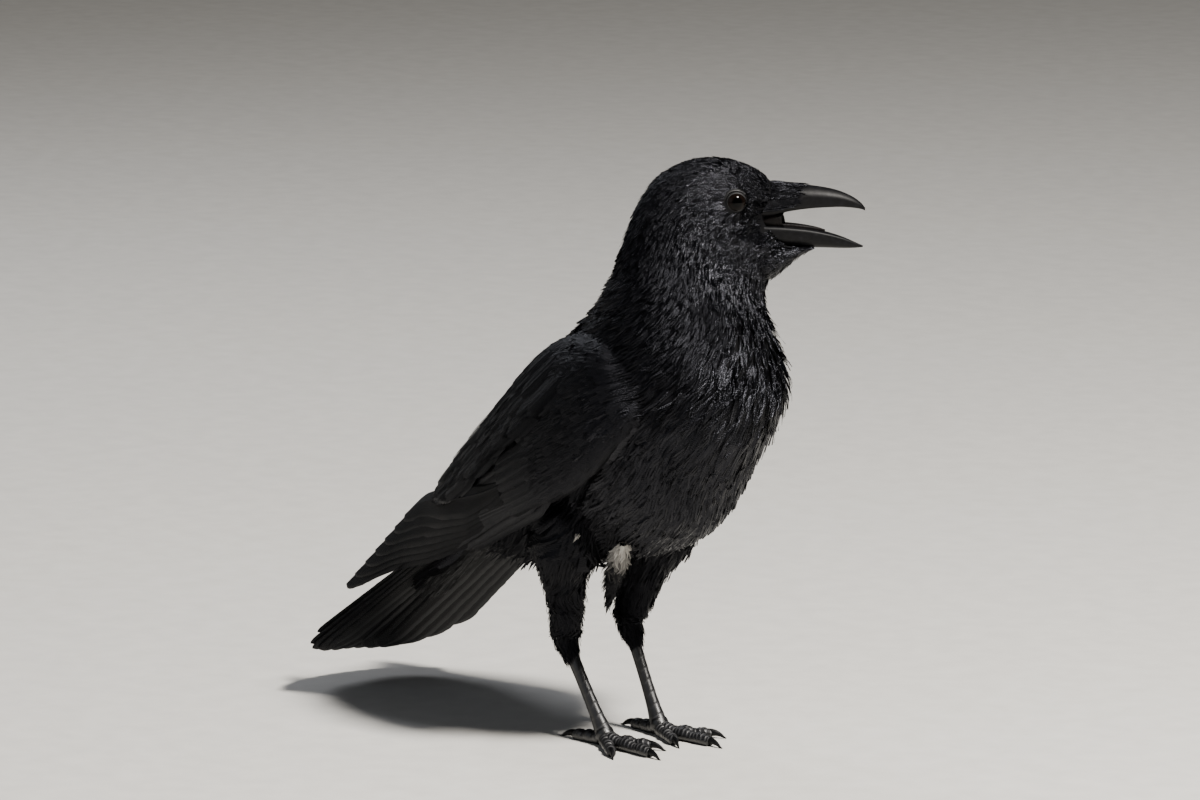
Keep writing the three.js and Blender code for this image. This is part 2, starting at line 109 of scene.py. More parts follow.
# Where the face's feathers end along the side of the bill, as a distance forward at each height, and the
# bill's half width along it.
FACE_EDGE = np.array([
    [250, 66], [256, 63], [259, 58], [260.5, 52], [263, 46.5], [267, 43], [270, 39.5], [274, 38], [277, 38.5],
    [281, 41], [286, 43.5], [290, 48], [293, 53], [296, 62], [298, 80],
])
BILL_HALF = np.array([[34, 8.2], [43, 8.2], [52, 7.4], [62, 6.3], [71, 5.2]])
FACE_FROM = 24  # how far forward of the neck's line the drawing in begins


def drawn_to_the_bill(points, grow):
    """Points of the face drawn in sideways: no wider than the bill's half width at the feathers' edge, and
    widening by 0.8 mm for each mm behind it and narrowing by 2.2 ahead of it, all but for the growth."""
    forward = (points[..., 0] - NECK_X) * np.cos(HEAD_TURN) + points[..., 1] * np.sin(HEAD_TURN)
    out = points[..., 1] * np.cos(HEAD_TURN) - (points[..., 0] - NECK_X) * np.sin(HEAD_TURN)
    behind = np.interp(points[..., 2], *FACE_EDGE.T) - forward
    most = np.interp(forward, *BILL_HALF.T) + np.where(behind > 0, 0.25 + 0.8 * behind, 0.25 + 2.2 * behind)
    drawn = np.minimum(np.abs(out), np.maximum(most + grow, 2.5))
    held = np.sign(out) * np.where(forward > FACE_FROM, drawn, np.abs(out))
    return points + (held - out)[..., None] * np.array([-np.sin(HEAD_TURN), np.cos(HEAD_TURN), 0])


def body_form(t, a, grow=0.0):
    """Coat surface of trunk, neck and head: about a station's centre, cos(a) times the half height upwards
    plus sin(a) times the half width to the left. The face is then drawn in to the bill."""
    t, a, grow = np.broadcast_arrays(np.asarray(t, float), a, grow)
    s = through(BODY, t)
    up = (s[..., 0:3] - s[..., 3:6]) / 2
    tall = np.linalg.norm(up, axis=-1, keepdims=True)
    side = np.stack([-np.sin(s[..., 7]), np.cos(s[..., 7]), np.zeros_like(t)], axis=-1)
    lift, reach, more = np.cos(a)[..., None], np.sin(a)[..., None], grow[..., None]
    points = (s[..., 0:3] + s[..., 3:6]) / 2 + up / tall * (tall + more) * lift
    points = points + side * (s[..., 6:7] + more) * reach
    return np.where((t > 16)[..., None], drawn_to_the_bill(points, grow), points)


# Folded wing stations, wrist first: along, high, out, half height, half thickness and lean in degrees.
WING = np.array([
    [78, 5, 39, 12, 8, 5], [68, 8, 41, 24, 14, 10], [47, 12, 42, 36, 17, 17], [18, 15, 41, 43, 18, 22],
    [-15, 18, 39, 43, 17, 28], [-50, 22, 36, 38, 14, 32], [-85, 26, 33, 33, 10.5, 36],
    [-115, 28, 31, 29, 7.5, 39], [-145, 30.5, 31.5, 20, 4.5, 41], [-175, 32, 32.5, 14, 3, 42],
    [-205, 33, 33, 9, 2, 42],
])


def wing_form(side):
    """The folded wing of one side as a form, a function of station, angle and growth."""
    def form(t, a, grow=0.0):
        """Coat surface of a folded wing: an ellipse about each station, leaning outwards over the body, with
        a turning from its upper edge over the outer face."""
        t, a = np.broadcast_arrays(np.asarray(t, float), a)
        s = through(WING, t)
        lean = np.radians(s[..., 5])
        tall, thick = (s[..., 3] + grow) * np.cos(a), (s[..., 4] + grow) * np.sin(a)
        out = s[..., 2] - np.sin(lean) * tall + np.cos(lean) * thick
        return in_trunk(s[..., 0], side * out, s[..., 1] + np.cos(lean) * tall + np.sin(lean) * thick)
    return form


def limb_form(points, radii, flatten=1.0):
    """A limb along a smooth line as a form, its sideways radius times flatten."""
    points, radii = np.asarray(points, float), np.asarray(radii, float)

    def form(t, a, grow=0.0):
        """Round surface about a smooth line through points, its radius smooth through a list."""
        t, a, grow = np.broadcast_arrays(np.asarray(t, float), a, grow)
        along = unit(through(points, t + 1e-3) - through(points, t - 1e-3))
        side = unit(np.cross(np.array([0.02, 0, 1.0]), along) + 1e-9)
        top = np.cross(along, side)
        r = np.maximum(through(radii, t * (len(radii) - 1) / (len(points) - 1)) + grow, 0.15)[..., None]
        return through(points, t) + top * r * np.cos(a)[..., None] + side * r * flatten * np.sin(a)[..., None]
    return form


KNEE = {"right": (-18, 30, 118), "left": (-17, 32, 118)}
ANKLE = {"right": (-38, 19, 54), "left": (-34, 21, 57)}
FOOT = {"right": (-8, 17, 5.5), "left": (-8, 20, 5.5)}
LOOSE = {"right": -4, "left": 2}  # how far forward the loose feathers over each thigh hang


def thigh_form(name):
    """The feathered upper leg from the knee to just below the ankle, fullest at the top."""
    turn = np.array([1, SIDES[name], 1])
    knee, ankle = KNEE[name] * turn, ANKLE[name] * turn
    down, loose = ankle - knee, LOOSE[name]
    points = [knee, knee + 0.26 * down + (0.7 * loose, 0, 0), knee + 0.52 * down + (0.6 * loose, 0, 0),
              knee + 0.78 * down + (1, 0, 0), ankle + (2, 0, 0), ankle + (6.5, 0, -12)]
    return limb_form(points, [21, 20, 13, 9.8, 8.2, 4.7], 0.9)


def rings(form, t, sides, grow=0.0):
    """A grid of points on a form: one ring at each station, with even angles round it."""
    a = np.arange(sides) * 2 * np.pi / sides
    t = np.asarray(t, float)
    return form(t[:, None], a[None, :], np.broadcast_to(grow, t.shape)[:, None])


def tube(grid):
    """Rings of points joined into a closed tube, with a point in the middle of each end."""
    rows, sides = grid.shape[:2]
    points = np.concatenate([grid.reshape(-1, 3), grid[0].mean(0)[None], grid[-1].mean(0)[None]])
    i, j = np.meshgrid(np.arange(rows - 1) * sides, np.arange(sides), indexing="ij")
    k = (j + 1) % sides
    quads = np.stack([i + j, i + sides + j, i + sides + k, i + k], axis=-1).reshape(-1, 4)
    j = np.arange(sides)
    k, end, pole = (j + 1) % sides, (rows - 1) * sides, rows * sides
    tris = np.concatenate([np.stack([j, k, np.full(sides, pole)], -1),
                           np.stack([end + k, end + j, np.full(sides, pole + 1)], -1)])
    volume = np.einsum("ij,ij->", points[quads[:, 0]] - points.mean(0),
                       np.cross(points[quads[:, 1]] - points.mean(0), points[quads[:, 2]] - points.mean(0)))
    return (points, quads, tris) if volume > 0 else (points, quads[:, ::-1], tris[:, ::-1])


def joined(bodies):
    """Several bodies of points, quads and triangles as one."""
    starts = np.cumsum([0] + [len(b[0]) for b in bodies[:-1]])
    return tuple(np.concatenate([b[k] + (s if k else 0) for b, s in zip(bodies, starts)]) for k in range(3))


def mesh_piece(name, body, material, maps=(), values=()):
    """A finished object, fixed to the body, from points in millimetres and arrays of faces, with its place in
    its mesh. Values are given for each point, and maps for each point or each corner."""
    points, faces = body[0], [f for f in body[1:] if len(f)]
    mesh = bpy.data.meshes.new(name)
    sizes = np.concatenate([np.full(len(f), f.shape[1]) for f in faces])
    corners = np.concatenate([f.ravel() for f in faces]).astype(np.int32)
    mesh.vertices.add(len(points))
    mesh.vertices.foreach_set("co", ((points + TO_ROW) / 1000).astype(np.float32).ravel())
    mesh.loops.add(len(corners))
    mesh.loops.foreach_set("vertex_index", corners)
    mesh.polygons.add(len(sizes))
    mesh.polygons.foreach_set("loop_start", np.concatenate([[0], np.cumsum(sizes)[:-1]]).astype(np.int32))
    mesh.update(calc_edges=True)
    mesh.validate()
    mesh.shade_smooth()
    for map_name, places in maps:
        places = places[corners] if len(places) == len(points) else places
        mesh.uv_layers.new(name=map_name).data.foreach_set("uv", places.astype(np.float32).ravel())
    for value_name, numbers in values:
        attribute = mesh.attributes.new(value_name, "FLOAT", "POINT")
        attribute.data.foreach_set("value", numbers.astype(np.float32))
    piece = bpy.data.objects.new(name, mesh)
    bpy.context.collection.objects.link(piece)
    mesh.materials.append(material)
    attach(piece, "root")
    return piece


def linear(hex_colour):
    """An sRGB hex colour as linear red, green, blue and alpha."""
    c = np.array([int(hex_colour[i:i + 2], 16) / 255 for i in (1, 3, 5)])
    return (*np.where(c <= 0.04045, c / 12.92, ((c + 0.055) / 1.055) ** 2.4), 1.0)


def add_node(material, kind, links=(), **settings):
    """A node of a kind, its sockets and properties set, and its inputs linked from other nodes' outputs. A
    setting i1 is the second input's, and stops are a ramp's pairs of place and hex colour."""
    node = material.node_tree.nodes.new(kind)
    sockets = {s.name: s for s in reversed(node.inputs)}
    for key, value in settings.items():
        words = key.replace("_", " ")
        found = next((s for n, s in sockets.items() if n.lower() == words), None)
        if key == "stops":
            while len(node.color_ramp.elements) < len(value):
                node.color_ramp.elements.new(0.5)
            for element, (place, colour) in zip(node.color_ramp.elements, value):
                element.position, element.color = place, linear(colour)
        elif key[0] == "i" and key[1:].isdigit():
            node.inputs[int(key[1:])].default_value = value
        elif found is not None and not hasattr(node, key):
            found.default_value = value
        else:
            setattr(node, key, value)
    for target, source in links:
        socket = node.inputs[target] if isinstance(target, int) else sockets[target]
        material.node_tree.links.new(source, socket)
    return node


def new_material(name, **surface):
    """A named material with one shader, whose constant settings are given by socket name."""
    material = bpy.data.materials.new(name)
    material.use_nodes = True
    shader = material.node_tree.nodes["Principled BSDF"]
    for key, value in surface.items():
        shader.inputs[key.replace("_", " ")].default_value = value
    return material, shader


def bird_skin():
    """Bare skin under black plumage: thin and dull, almost black where the feathers' roots darken it, with a
    fine pimpled grain of the follicles. It only shows as the dark between the feathers."""
    material, shader = new_material("bare_skin_under_plumage", Roughness=0.8, Specular_IOR_Level=0.1)
    links = material.node_tree.links
    place = add_node(material, "ShaderNodeTexCoord").outputs["Object"]
    blotch = add_node(material, "ShaderNodeTexNoise", [("Vector", place)], scale=160.0, detail=3.0)
    colour = add_node(material, "ShaderNodeValToRGB", [("Fac", blotch.outputs["Fac"])],
                      stops=[(0.35, "#030304"), (0.65, "#08080a")])
    links.new(colour.outputs["Color"], shader.inputs["Base Color"])
    pimple = add_node(material, "ShaderNodeTexVoronoi", [("Vector", place)], scale=600.0)
    bump = add_node(material, "ShaderNodeBump", [("Height", pimple.outputs["Distance"])],
                    strength=0.3, distance=0.0004)
    links.new(bump.outputs["Normal"], shader.inputs["Normal"])
    return material


# Chin stations: forward, top, low, and half the width.
CHIN = np.array([[30, 266, 246, 14], [42, 264, 244, 12.5], [51, 262.5, 250.6, 10.4], [58.5, 261.5, 256.4, 8],
                 [65.5, 261, 258.6, 3.5]])
# How deep the coat is at each body station.
DEPTH = np.array([2, 2, 2, 3, 4.5, 5, 5, 5, 5, 5, 5, 4.5, 4.2, 4, 3.6, 3, 2.3, 1.6, 1.2, 1.1, 1, 0.9])


def chin_form(t, a, grow=0.0):
    """The feathered chin: rings square to the head's forward line that shrink under the lower bill."""
    t, a = np.broadcast_arrays(np.asarray(t, float), a)
    s = through(CHIN, t)
    tall, half = (s[..., 1] - s[..., 2]) / 2 + grow, s[..., 3] + grow
    return in_neck(s[..., 0], (s[..., 1] + s[..., 2]) / 2 + tall * np.cos(a), HEAD_TURN, half * np.sin(a))


def body_skin():
    """Closed tubes for all the flesh, each inside its form by the depth of the coat there. They run into each
    other and are blended into one skin below."""
    t = np.linspace(3, FACE_END, 73)
    trunk = rings(body_form, t, 56, -through(DEPTH, t))
    middle, ahead = trunk[-1].mean(0), np.array([np.cos(HEAD_TURN), np.sin(HEAD_TURN), 0])
    face = middle + (trunk[-1] - middle) * 0.6 + 2.4 * ahead
    bodies = [tube(np.concatenate([trunk, face[None]]))]
    bodies.append(tube(rings(chin_form, np.linspace(0, 3.9, 12), 20, -0.8)))
    tail_stump = [in_trunk(-96, 0, 19), in_trunk(-118, 0, 18), in_trunk(-142, 0, 17.2)]
    bodies.append(tube(rings(limb_form(tail_stump, [8.5, 7, 3.4], 1.9), np.linspace(0, 2, 9), 24)))
    mound = limb_form([(13, -22, 111), (4, -17, 98), (-4, -12, 88)], [4, 4.5, 2])
    bodies.append(tube(rings(mound, np.linspace(0, 2, 9), 20)))
    for name, side in SIDES.items():
        bodies.append(tube(rings(thigh_form(name), np.linspace(-0.5, 4.7, 26), 24, -2.6)))
        bodies.append(tube(rings(wing_form(side), np.linspace(0.5, 6.4, 28), 28, -5.0)))
    return joined(bodies)


def applied(piece):
    """The piece with its modifiers worked into its mesh."""
    evaluated = piece.evaluated_get(bpy.context.evaluated_depsgraph_get())
    mesh = bpy.data.meshes.new_from_object(evaluated)
    piece.modifiers.clear()
    piece.data = mesh
    mesh.shade_smooth()
    return piece


skin = mesh_piece("body_skin", body_skin(), bird_skin())
blend = skin.modifiers.new("one_skin", "REMESH")
blend.mode, blend.voxel_size = "VOXEL", 0.0017
soften = skin.modifiers.new("soften", "SMOOTH")
soften.factor, soften.iterations = 0.5, 5
applied(skin)
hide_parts("trunk", "neck", "head", "thigh_left", "thigh_right", "wing_left", "wing_right",
            "vent_down")

# ---------------------------------------------------------------- eyes and lids
# Dark-brown eyes, almost black, under a wet clear front, set in the sides of the head and looking a little
# forwards. Each sits in a thin ring of bare, beaded lid skin, with the lower lid paler.

HEAD_AXES = np.array([[np.cos(HEAD_TURN), np.sin(HEAD_TURN), 0], [-np.sin(HEAD_TURN), np.cos(HEAD_TURN), 0],
                      [0, 0, 1]])  # forwards, to the left and up
EYE_OPENING = (4.95, 4.6)  # half the length and height of the opening between the lids
EYE_RADIUS = 6.4
EYE_FLAT = 0.82  # how deep the ball is over how wide


def eye_axes(side):
    """The middle of the ball, the way it looks, forwards along the opening, and up across it."""
    centre = in_neck(24.6, 285.1, HEAD_TURN, side * 14.4)
    look = unit(np.array([0.2, side * 0.97, 0.06]) @ HEAD_AXES)
    ahead = unit(HEAD_AXES[0] - look * (HEAD_AXES[0] @ look) - 0.1 * HEAD_AXES[2])
    return centre, look, ahead, unit(np.cross(look, ahead) * side)


def eyeball(side):
    """Rings about the line of sight at angle phi from the front: EYE_RADIUS sin(phi) across and EYE_FLAT
    times EYE_RADIUS cos(phi) forward, with the clear front swelling by 0.5 mm inside the iris."""
    centre, look, ahead, up = eye_axes(side)
    phi = np.radians(np.linspace(1.5, 178, 46))[:, None, None]
    a = np.linspace(0, 2 * np.pi, 48, endpoint=False)[None, :, None]
    swell = 0.5 * np.clip(1 - (phi / np.radians(48)) ** 2, 0, 1) ** 2
    across = EYE_RADIUS * np.sin(phi)
    grid = centre + look * ((EYE_RADIUS * EYE_FLAT) * np.cos(phi) + swell)
    grid = grid + across * (ahead * np.cos(a) + up * np.sin(a))
    body = tube(grid)
    place = body[0] - centre
    return body, np.stack([place @ ahead, place @ up], -1) / 10


def eye_gloss():
    """Living eye: a black pupil in an iris of very dark brown with faint rays, all behind a wet cornea that
    gives one sharp highlight."""
    material, shader = new_material("dark_brown_eye", Roughness=0.04, IOR=1.34, Specular_IOR_Level=0.17)
    links = material.node_tree.links
    place = add_node(material, "ShaderNodeUVMap", uv_map="Iris").outputs["UV"]
    far = add_node(material, "ShaderNodeVectorMath", [(0, place)], operation="LENGTH").outputs["Value"]
    rays = add_node(material, "ShaderNodeTexNoise", [("Vector", place)],
                    scale=34.0, detail=4.0, roughness=0.7)
    shifted = add_node(material, "ShaderNodeMath", [(0, rays.outputs["Fac"]), (2, far)],
                       operation="MULTIPLY_ADD", i1=0.05)
    colour = add_node(material, "ShaderNodeValToRGB", [("Fac", shifted.outputs[0])],
                      stops=[(0.25, "#010101"), (0.29, "#080504"), (0.43, "#0d0806"), (0.50, "#030202")])
    links.new(colour.outputs["Color"], shader.inputs["Base Color"])
    return material


LID_TURNS = 120
LID_PROFILE = np.array([  # across the lid: outwards from the opening's edge, and off the ball
    [-0.5, -0.35], [-0.28, 0.02], [0.0, 0.24], [0.25, 0.22], [0.5, -0.02], [0.85, -0.2], [1.15, -0.06],
    [1.35, -0.12], [1.7, -0.55], [2.3, -1.5], [1.4, -1.9], [0.2, -1.5],
])


def eyelids(side):
    """A closed band carried round the opening, an ellipse drawn out a little at its front corner, with its
    profile turned off the ball and beads along its crest."""
    centre, look, ahead, up = eye_axes(side)
    a = np.linspace(0, 2 * np.pi, LID_TURNS, endpoint=False)[:, None]
    corner = 1 + 0.13 * np.exp(-((np.angle(np.exp(1j * (a + 0.12)))) / 0.28) ** 2)
    half = np.array(EYE_OPENING)
    ring = np.stack([half[0] * np.cos(a) * corner, half[1] * np.sin(a)], -1)
    radial = unit(np.stack([np.cos(a) * half[1], np.sin(a) * half[0]], -1))
    place = ring + radial * LID_PROFILE[None, :, 0:1]
    ball = EYE_FLAT * np.sqrt(np.clip(EYE_RADIUS**2 - np.clip(np.sum(place**2, -1), 0, 33), 0.5, None))
    bead = 0.16 * np.cos(a * 34) * np.exp(-((LID_PROFILE[None, :, 0] - 0.5) / 0.45) ** 2)
    rise = np.maximum(ball, 2.6) + LID_PROFILE[None, :, 1] + bead
    grid = centre + look * rise[..., None] + ahead * place[..., 0:1] + up * place[..., 1:2]
    rows, sides = grid.shape[:2]
    i, j = np.meshgrid(np.arange(rows), np.arange(sides), indexing="ij")
    n, k = (i + 1) % rows, (j + 1) % sides
    quads = np.stack([i * sides + j, n * sides + j, n * sides + k, i * sides + k], -1).reshape(-1, 4)
    points = grid.reshape(-1, 3)
    start = points[quads[:, 0]]
    facing = np.cross(points[quads[:, 1]] - start, points[quads[:, 3]] - start)
    if np.einsum("ij,ij->i", facing, start - (centre + look * 2.4)).sum() < 0:
        quads = quads[:, ::-1]
    low = np.clip(-np.sin(np.repeat(a[:, 0], sides)) * 1.4, 0, 1)
    return (points, quads, np.zeros((0, 3), int)), low


def lid_skin():
    """Bare lid skin: soft, nearly black and matt, finely beaded and creased, paler along the lower lid."""
    material, shader = new_material("bare_lid_skin", Roughness=0.5, Specular_IOR_Level=0.3)
    links = material.node_tree.links
    low = add_node(material, "ShaderNodeAttribute", attribute_name="lower_lid").outputs["Fac"]
    colour = add_node(material, "ShaderNodeValToRGB", [("Fac", low)],
                      stops=[(0.0, "#030304"), (0.5, "#060607"), (1.0, "#19191a")])
    links.new(colour.outputs["Color"], shader.inputs["Base Color"])
    place = add_node(material, "ShaderNodeTexCoord").outputs["Object"]
    crease = add_node(material, "ShaderNodeTexNoise", [("Vector", place)], scale=2200.0, detail=3.0)
    bump = add_node(material, "ShaderNodeBump", [("Height", crease.outputs["Fac"])],
                    strength=0.5, distance=0.0002)
    links.new(bump.outputs["Normal"], shader.inputs["Normal"])
    return material


wet_eye, bare_lid = eye_gloss(), lid_skin()
for name, side in SIDES.items():
    body, places = eyeball(side)
    ball = mesh_piece(f"eyeball_{name}", body, wet_eye, maps=[("Iris", places)])
    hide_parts(f"eye_{name}")
    body, low = eyelids(side)
    mesh_piece(f"eyelids_{name}", body, bare_lid, values=[("lower_lid", low)])

# ---------------------------------------------------------------- bill, mouth and tongue
# Two black horn sheaths over bone. The upper one is deep with an arched ridge and a slight hook, the lower
# one is straight and rises to the tip. Between them the mouth is lined with dark skin, and the tongue lies
# in the lower one.

# Rings along the head's forward line: at, top, low, half width.
UPPER_BILL = np.array([
    [34, 291, 275, 8.2], [43, 293, 275.8, 8.2], [52, 292, 278, 7.4], [62, 291.4, 279.4, 6.3],
    [71, 290.1, 280, 5.2], [78, 288.2, 280.2, 4], [84, 285.4, 279.8, 2.8], [88, 282.4, 279.2, 1.6],
    [90, 279.9, 278.4, 0.6],
])
LOWER_BILL = np.array([
    [34, 272.4, 260.4, 7.6], [43, 272, 260.2, 7.4], [53, 271.2, 260, 6.6], [63, 269.8, 259.9, 5.5],
    [72, 267.6, 259.7, 4.2], [79, 265.3, 259.5, 3], [85, 262.6, 259.6, 1.7], [89, 260.8, 260, 0.6],
])
TONGUE = np.array([
    [40, 273, 268.6, 3.6], [52, 272.4, 268.4, 3.3], [60, 271.4, 268.1, 2.7], [66, 270.2, 267.8, 1.7],
    [70, 269, 267.4, 0.5],
])


def bill_form(stations, edge):
    """One half of the bill as a form."""
    def form(t, a, grow=0.0):
        """A bill half: each ring a rounded ellipse whose biting side, below for edge -1 and above for edge 1,
        is squared so that it ends in two cutting edges with a shallow trough between them."""
        t, a = np.broadcast_arrays(np.asarray(t, float), a)
        s = through(stations, t)
        tall, half = (s[..., 1] - s[..., 2]) / 2 + grow, s[..., 3] + grow
        lift, reach = np.cos(a), np.sin(a)
        bite = lift * edge > 0
        squared = np.where(bite, np.sign(lift) * np.abs(lift) ** 0.32, lift)
        squared = squared - edge * np.where(bite, 0.22 * np.clip(np.abs(lift) - 0.55, 0, 1), 0)
        ridge = np.where(bite, np.sign(reach) * np.abs(reach) ** 0.7, reach * (1 - 0.16 * np.abs(lift) ** 2))
        return in_neck(s[..., 0], (s[..., 1] + s[..., 2]) / 2 + tall * squared, HEAD_TURN, half * ridge)
    return form


def black_horn():
    """Keratin sheath of a crow's bill: black with a soft satin shine, faint lengthwise growth streaks, and
    fine scuffs in a mottle of black and dark grey."""
    material, shader = new_material("black_horn_sheath", Roughness=0.48, IOR=1.5, Specular_IOR_Level=0.15)
    links = material.node_tree.links
    place = add_node(material, "ShaderNodeTexCoord").outputs["Object"]
    turned = add_node(material, "ShaderNodeMapping", [("Vector", place)], rotation=(0, 0, -HEAD_TURN),
                      scale=(60, 520, 620))
    streak = add_node(material, "ShaderNodeTexNoise", [("Vector", turned.outputs[0])],
                      scale=1.0, detail=5.0, roughness=0.6)
    scuff = add_node(material, "ShaderNodeTexNoise", [("Vector", place)],
                     scale=420.0, detail=6.0, roughness=0.7)
    both = add_node(material, "ShaderNodeMath", [(0, streak.outputs["Fac"]), (1, scuff.outputs["Fac"])],
                    operation="MULTIPLY")
    colour = add_node(material, "ShaderNodeValToRGB", [("Fac", both.outputs[0])],
                      stops=[(0.16, "#050506"), (0.3, "#09090b"), (0.42, "#121215")])
    links.new(colour.outputs["Color"], shader.inputs["Base Color"])
    shine = add_node(material, "ShaderNodeMapRange", [("Value", scuff.outputs["Fac"])],
                     to_min=0.4, to_max=0.56)
    links.new(shine.outputs[0], shader.inputs["Roughness"])
    bump = add_node(material, "ShaderNodeBump", [("Height", both.outputs[0])],
                    strength=0.35, distance=0.00035)
    links.new(bump.outputs["Normal"], shader.inputs["Normal"])
    return material


sheath_horn = black_horn()
for name, stations, edge in (("bill_upper_sheath", UPPER_BILL, -1), ("bill_lower_sheath", LOWER_BILL, 1)):
    t = np.linspace(0, 1, 90) ** 0.9 * (len(stations) - 1)
    sheath = mesh_piece(name, tube(rings(bill_form(stations, edge), t, 64)), sheath_horn)
    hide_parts(name.removesuffix("_sheath"))


def mouth_skin():
    """Lining of the mouth and the tongue: very dark flesh, faintly pink in patches, with a moist shine."""
    material, shader = new_material("dark_mouth_lining", Roughness=0.5, Specular_IOR_Level=0.12)
    links = material.node_tree.links
    place = add_node(material, "ShaderNodeTexCoord").outputs["Object"]
    patch = add_node(material, "ShaderNodeTexNoise", [("Vector", place)], scale=350.0, detail=3.0)
    colour = add_node(material, "ShaderNodeValToRGB", [("Fac", patch.outputs["Fac"])],
                      stops=[(0.35, "#050404"), (0.65, "#0c0808")])
    links.new(colour.outputs["Color"], shader.inputs["Base Color"])
    ripple = add_node(material, "ShaderNodeTexVoronoi", [("Vector", place)], scale=900.0)
    bump = add_node(material, "ShaderNodeBump", [("Height", ripple.outputs["Distance"])],
                    strength=0.3, distance=0.0003)
    links.new(bump.outputs["Normal"], shader.inputs["Normal"])
    return material


wet_flesh = mouth_skin()
tongue = tube(rings(bill_form(TONGUE, 1), np.linspace(0, 4, 44), 32))
tongue = mesh_piece("tongue_flesh", tongue, wet_flesh)
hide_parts("tongue")


def mouth_lining():
    """A soft pocket open to the front: rings of an upright ellipse between the bill halves, whose sides end
    at the gape's corners while roof and floor run on, doubled back on itself 0.5 mm inside."""
    a = np.linspace(0, 2 * np.pi, 64, endpoint=False)[None, :]
    run = np.linspace(0, 1, 24)[:, None]
    front = 48.2 + 4 * np.abs(np.cos(a)) ** 3
    at = 36 + (front - 36) * run
    half = 7.2 - 0.11 * (at - 36) - 2.6 * (1 - run) ** 3
    tall = 5.3 - 2.8 * (1 - run) ** 3
    level = 274.0 + 0.05 * (at - 36)
    outer, inner = (in_neck(at, level + (tall - wall) * np.cos(a), HEAD_TURN, (half - wall) * np.sin(a))
                    for wall in (0, 0.5))
    return tube(np.concatenate([outer, inner[::-1]]))


mesh_piece("mouth_lining", mouth_lining(), wet_flesh)

# ---------------------------------------------------------------- feathers of the head
# Short, soft, dense feathers that lie back from the bill over face, cheeks and chin and part round the eye,
# with flatter, duller ones on crown and nape. Each one is a small cupped vane of black horn with a ragged
# rim, rooted in the skin and overlapping the next.


def slopes(form, t, a):
    """At places on a form: the point, the way each parameter runs, and the way out of the surface."""
    near = 2e-3
    point = form(t, a)
    run = (form(t + near, a) - form(t - near, a)) / (2 * near)
    turn = (form(t, a + near) - form(t, a - near)) / (2 * near)
    outward = unit(np.cross(run, turn))
    middle = (point + form(t, a + np.pi)) / 2
    return point, run, turn, outward * np.sign(np.sum(outward * (point - middle), -1, keepdims=True))


def steps(run, turn, d):
    """The change of both parameters that moves a point on the surface by the vector d."""
    rr, tt, rt = (run * run).sum(-1), (turn * turn).sum(-1), (run * turn).sum(-1)
    rd, td = (run * d).sum(-1), (turn * d).sum(-1)
    det = np.maximum(rr * tt - rt**2, 1e-6)
    return (tt * rd - rt * td) / det, (rr * td - rt * rd) / det


EVEN_STEPS = (0.7548776662, 0.5698402910)  # steps that fill a square evenly and never bunch


def strewn(form, t_span, a_span, spacing, start=0.0):
    """Places spread over part of a form by even steps through a square. The chance of a place is its area
    over the square of the spacing asked for there, in millimetres or as a function of the station."""
    t = np.linspace(*t_span, 90)
    a = np.radians(np.linspace(*a_span, 121))
    _, run, turn, _ = slopes(form, t[:, None] * np.ones_like(a), a[None, :] * np.ones_like(t)[:, None])
    gap = np.broadcast_to(spacing(t) if callable(spacing) else float(spacing), t.shape)[:, None]
    share = np.linalg.norm(np.cross(run, turn), axis=-1) / gap**2
    count = int(share.mean() * (t[-1] - t[0]) * (a[-1] - a[0]))
    rows = np.cumsum(share.sum(1))
    u, v = ((start + np.arange(count) * step) % 1 for step in EVEN_STEPS)
    row = np.interp(u, np.concatenate([[0], rows[1:]]) / rows[-1], np.arange(len(t)))
    cells = np.cumsum(share, axis=1)
    cells = (cells - cells[:, :1]) / (cells[:, -1:] - cells[:, :1])
    nearest = np.rint(row).astype(int)
    column = np.concatenate([np.interp(v[nearest == k], cells[k], a) for k in range(len(t))])
    order = np.argsort(np.concatenate([np.flatnonzero(nearest == k) for k in range(len(t))]))
    return np.interp(row, np.arange(len(t)), t), column[order]


ROOT_PATCH = 0.003  # the size of each feather's patch in the baking map
SHAFT_WIDTH = 0.13  # of a raised shaft, as a share of half the feather's width


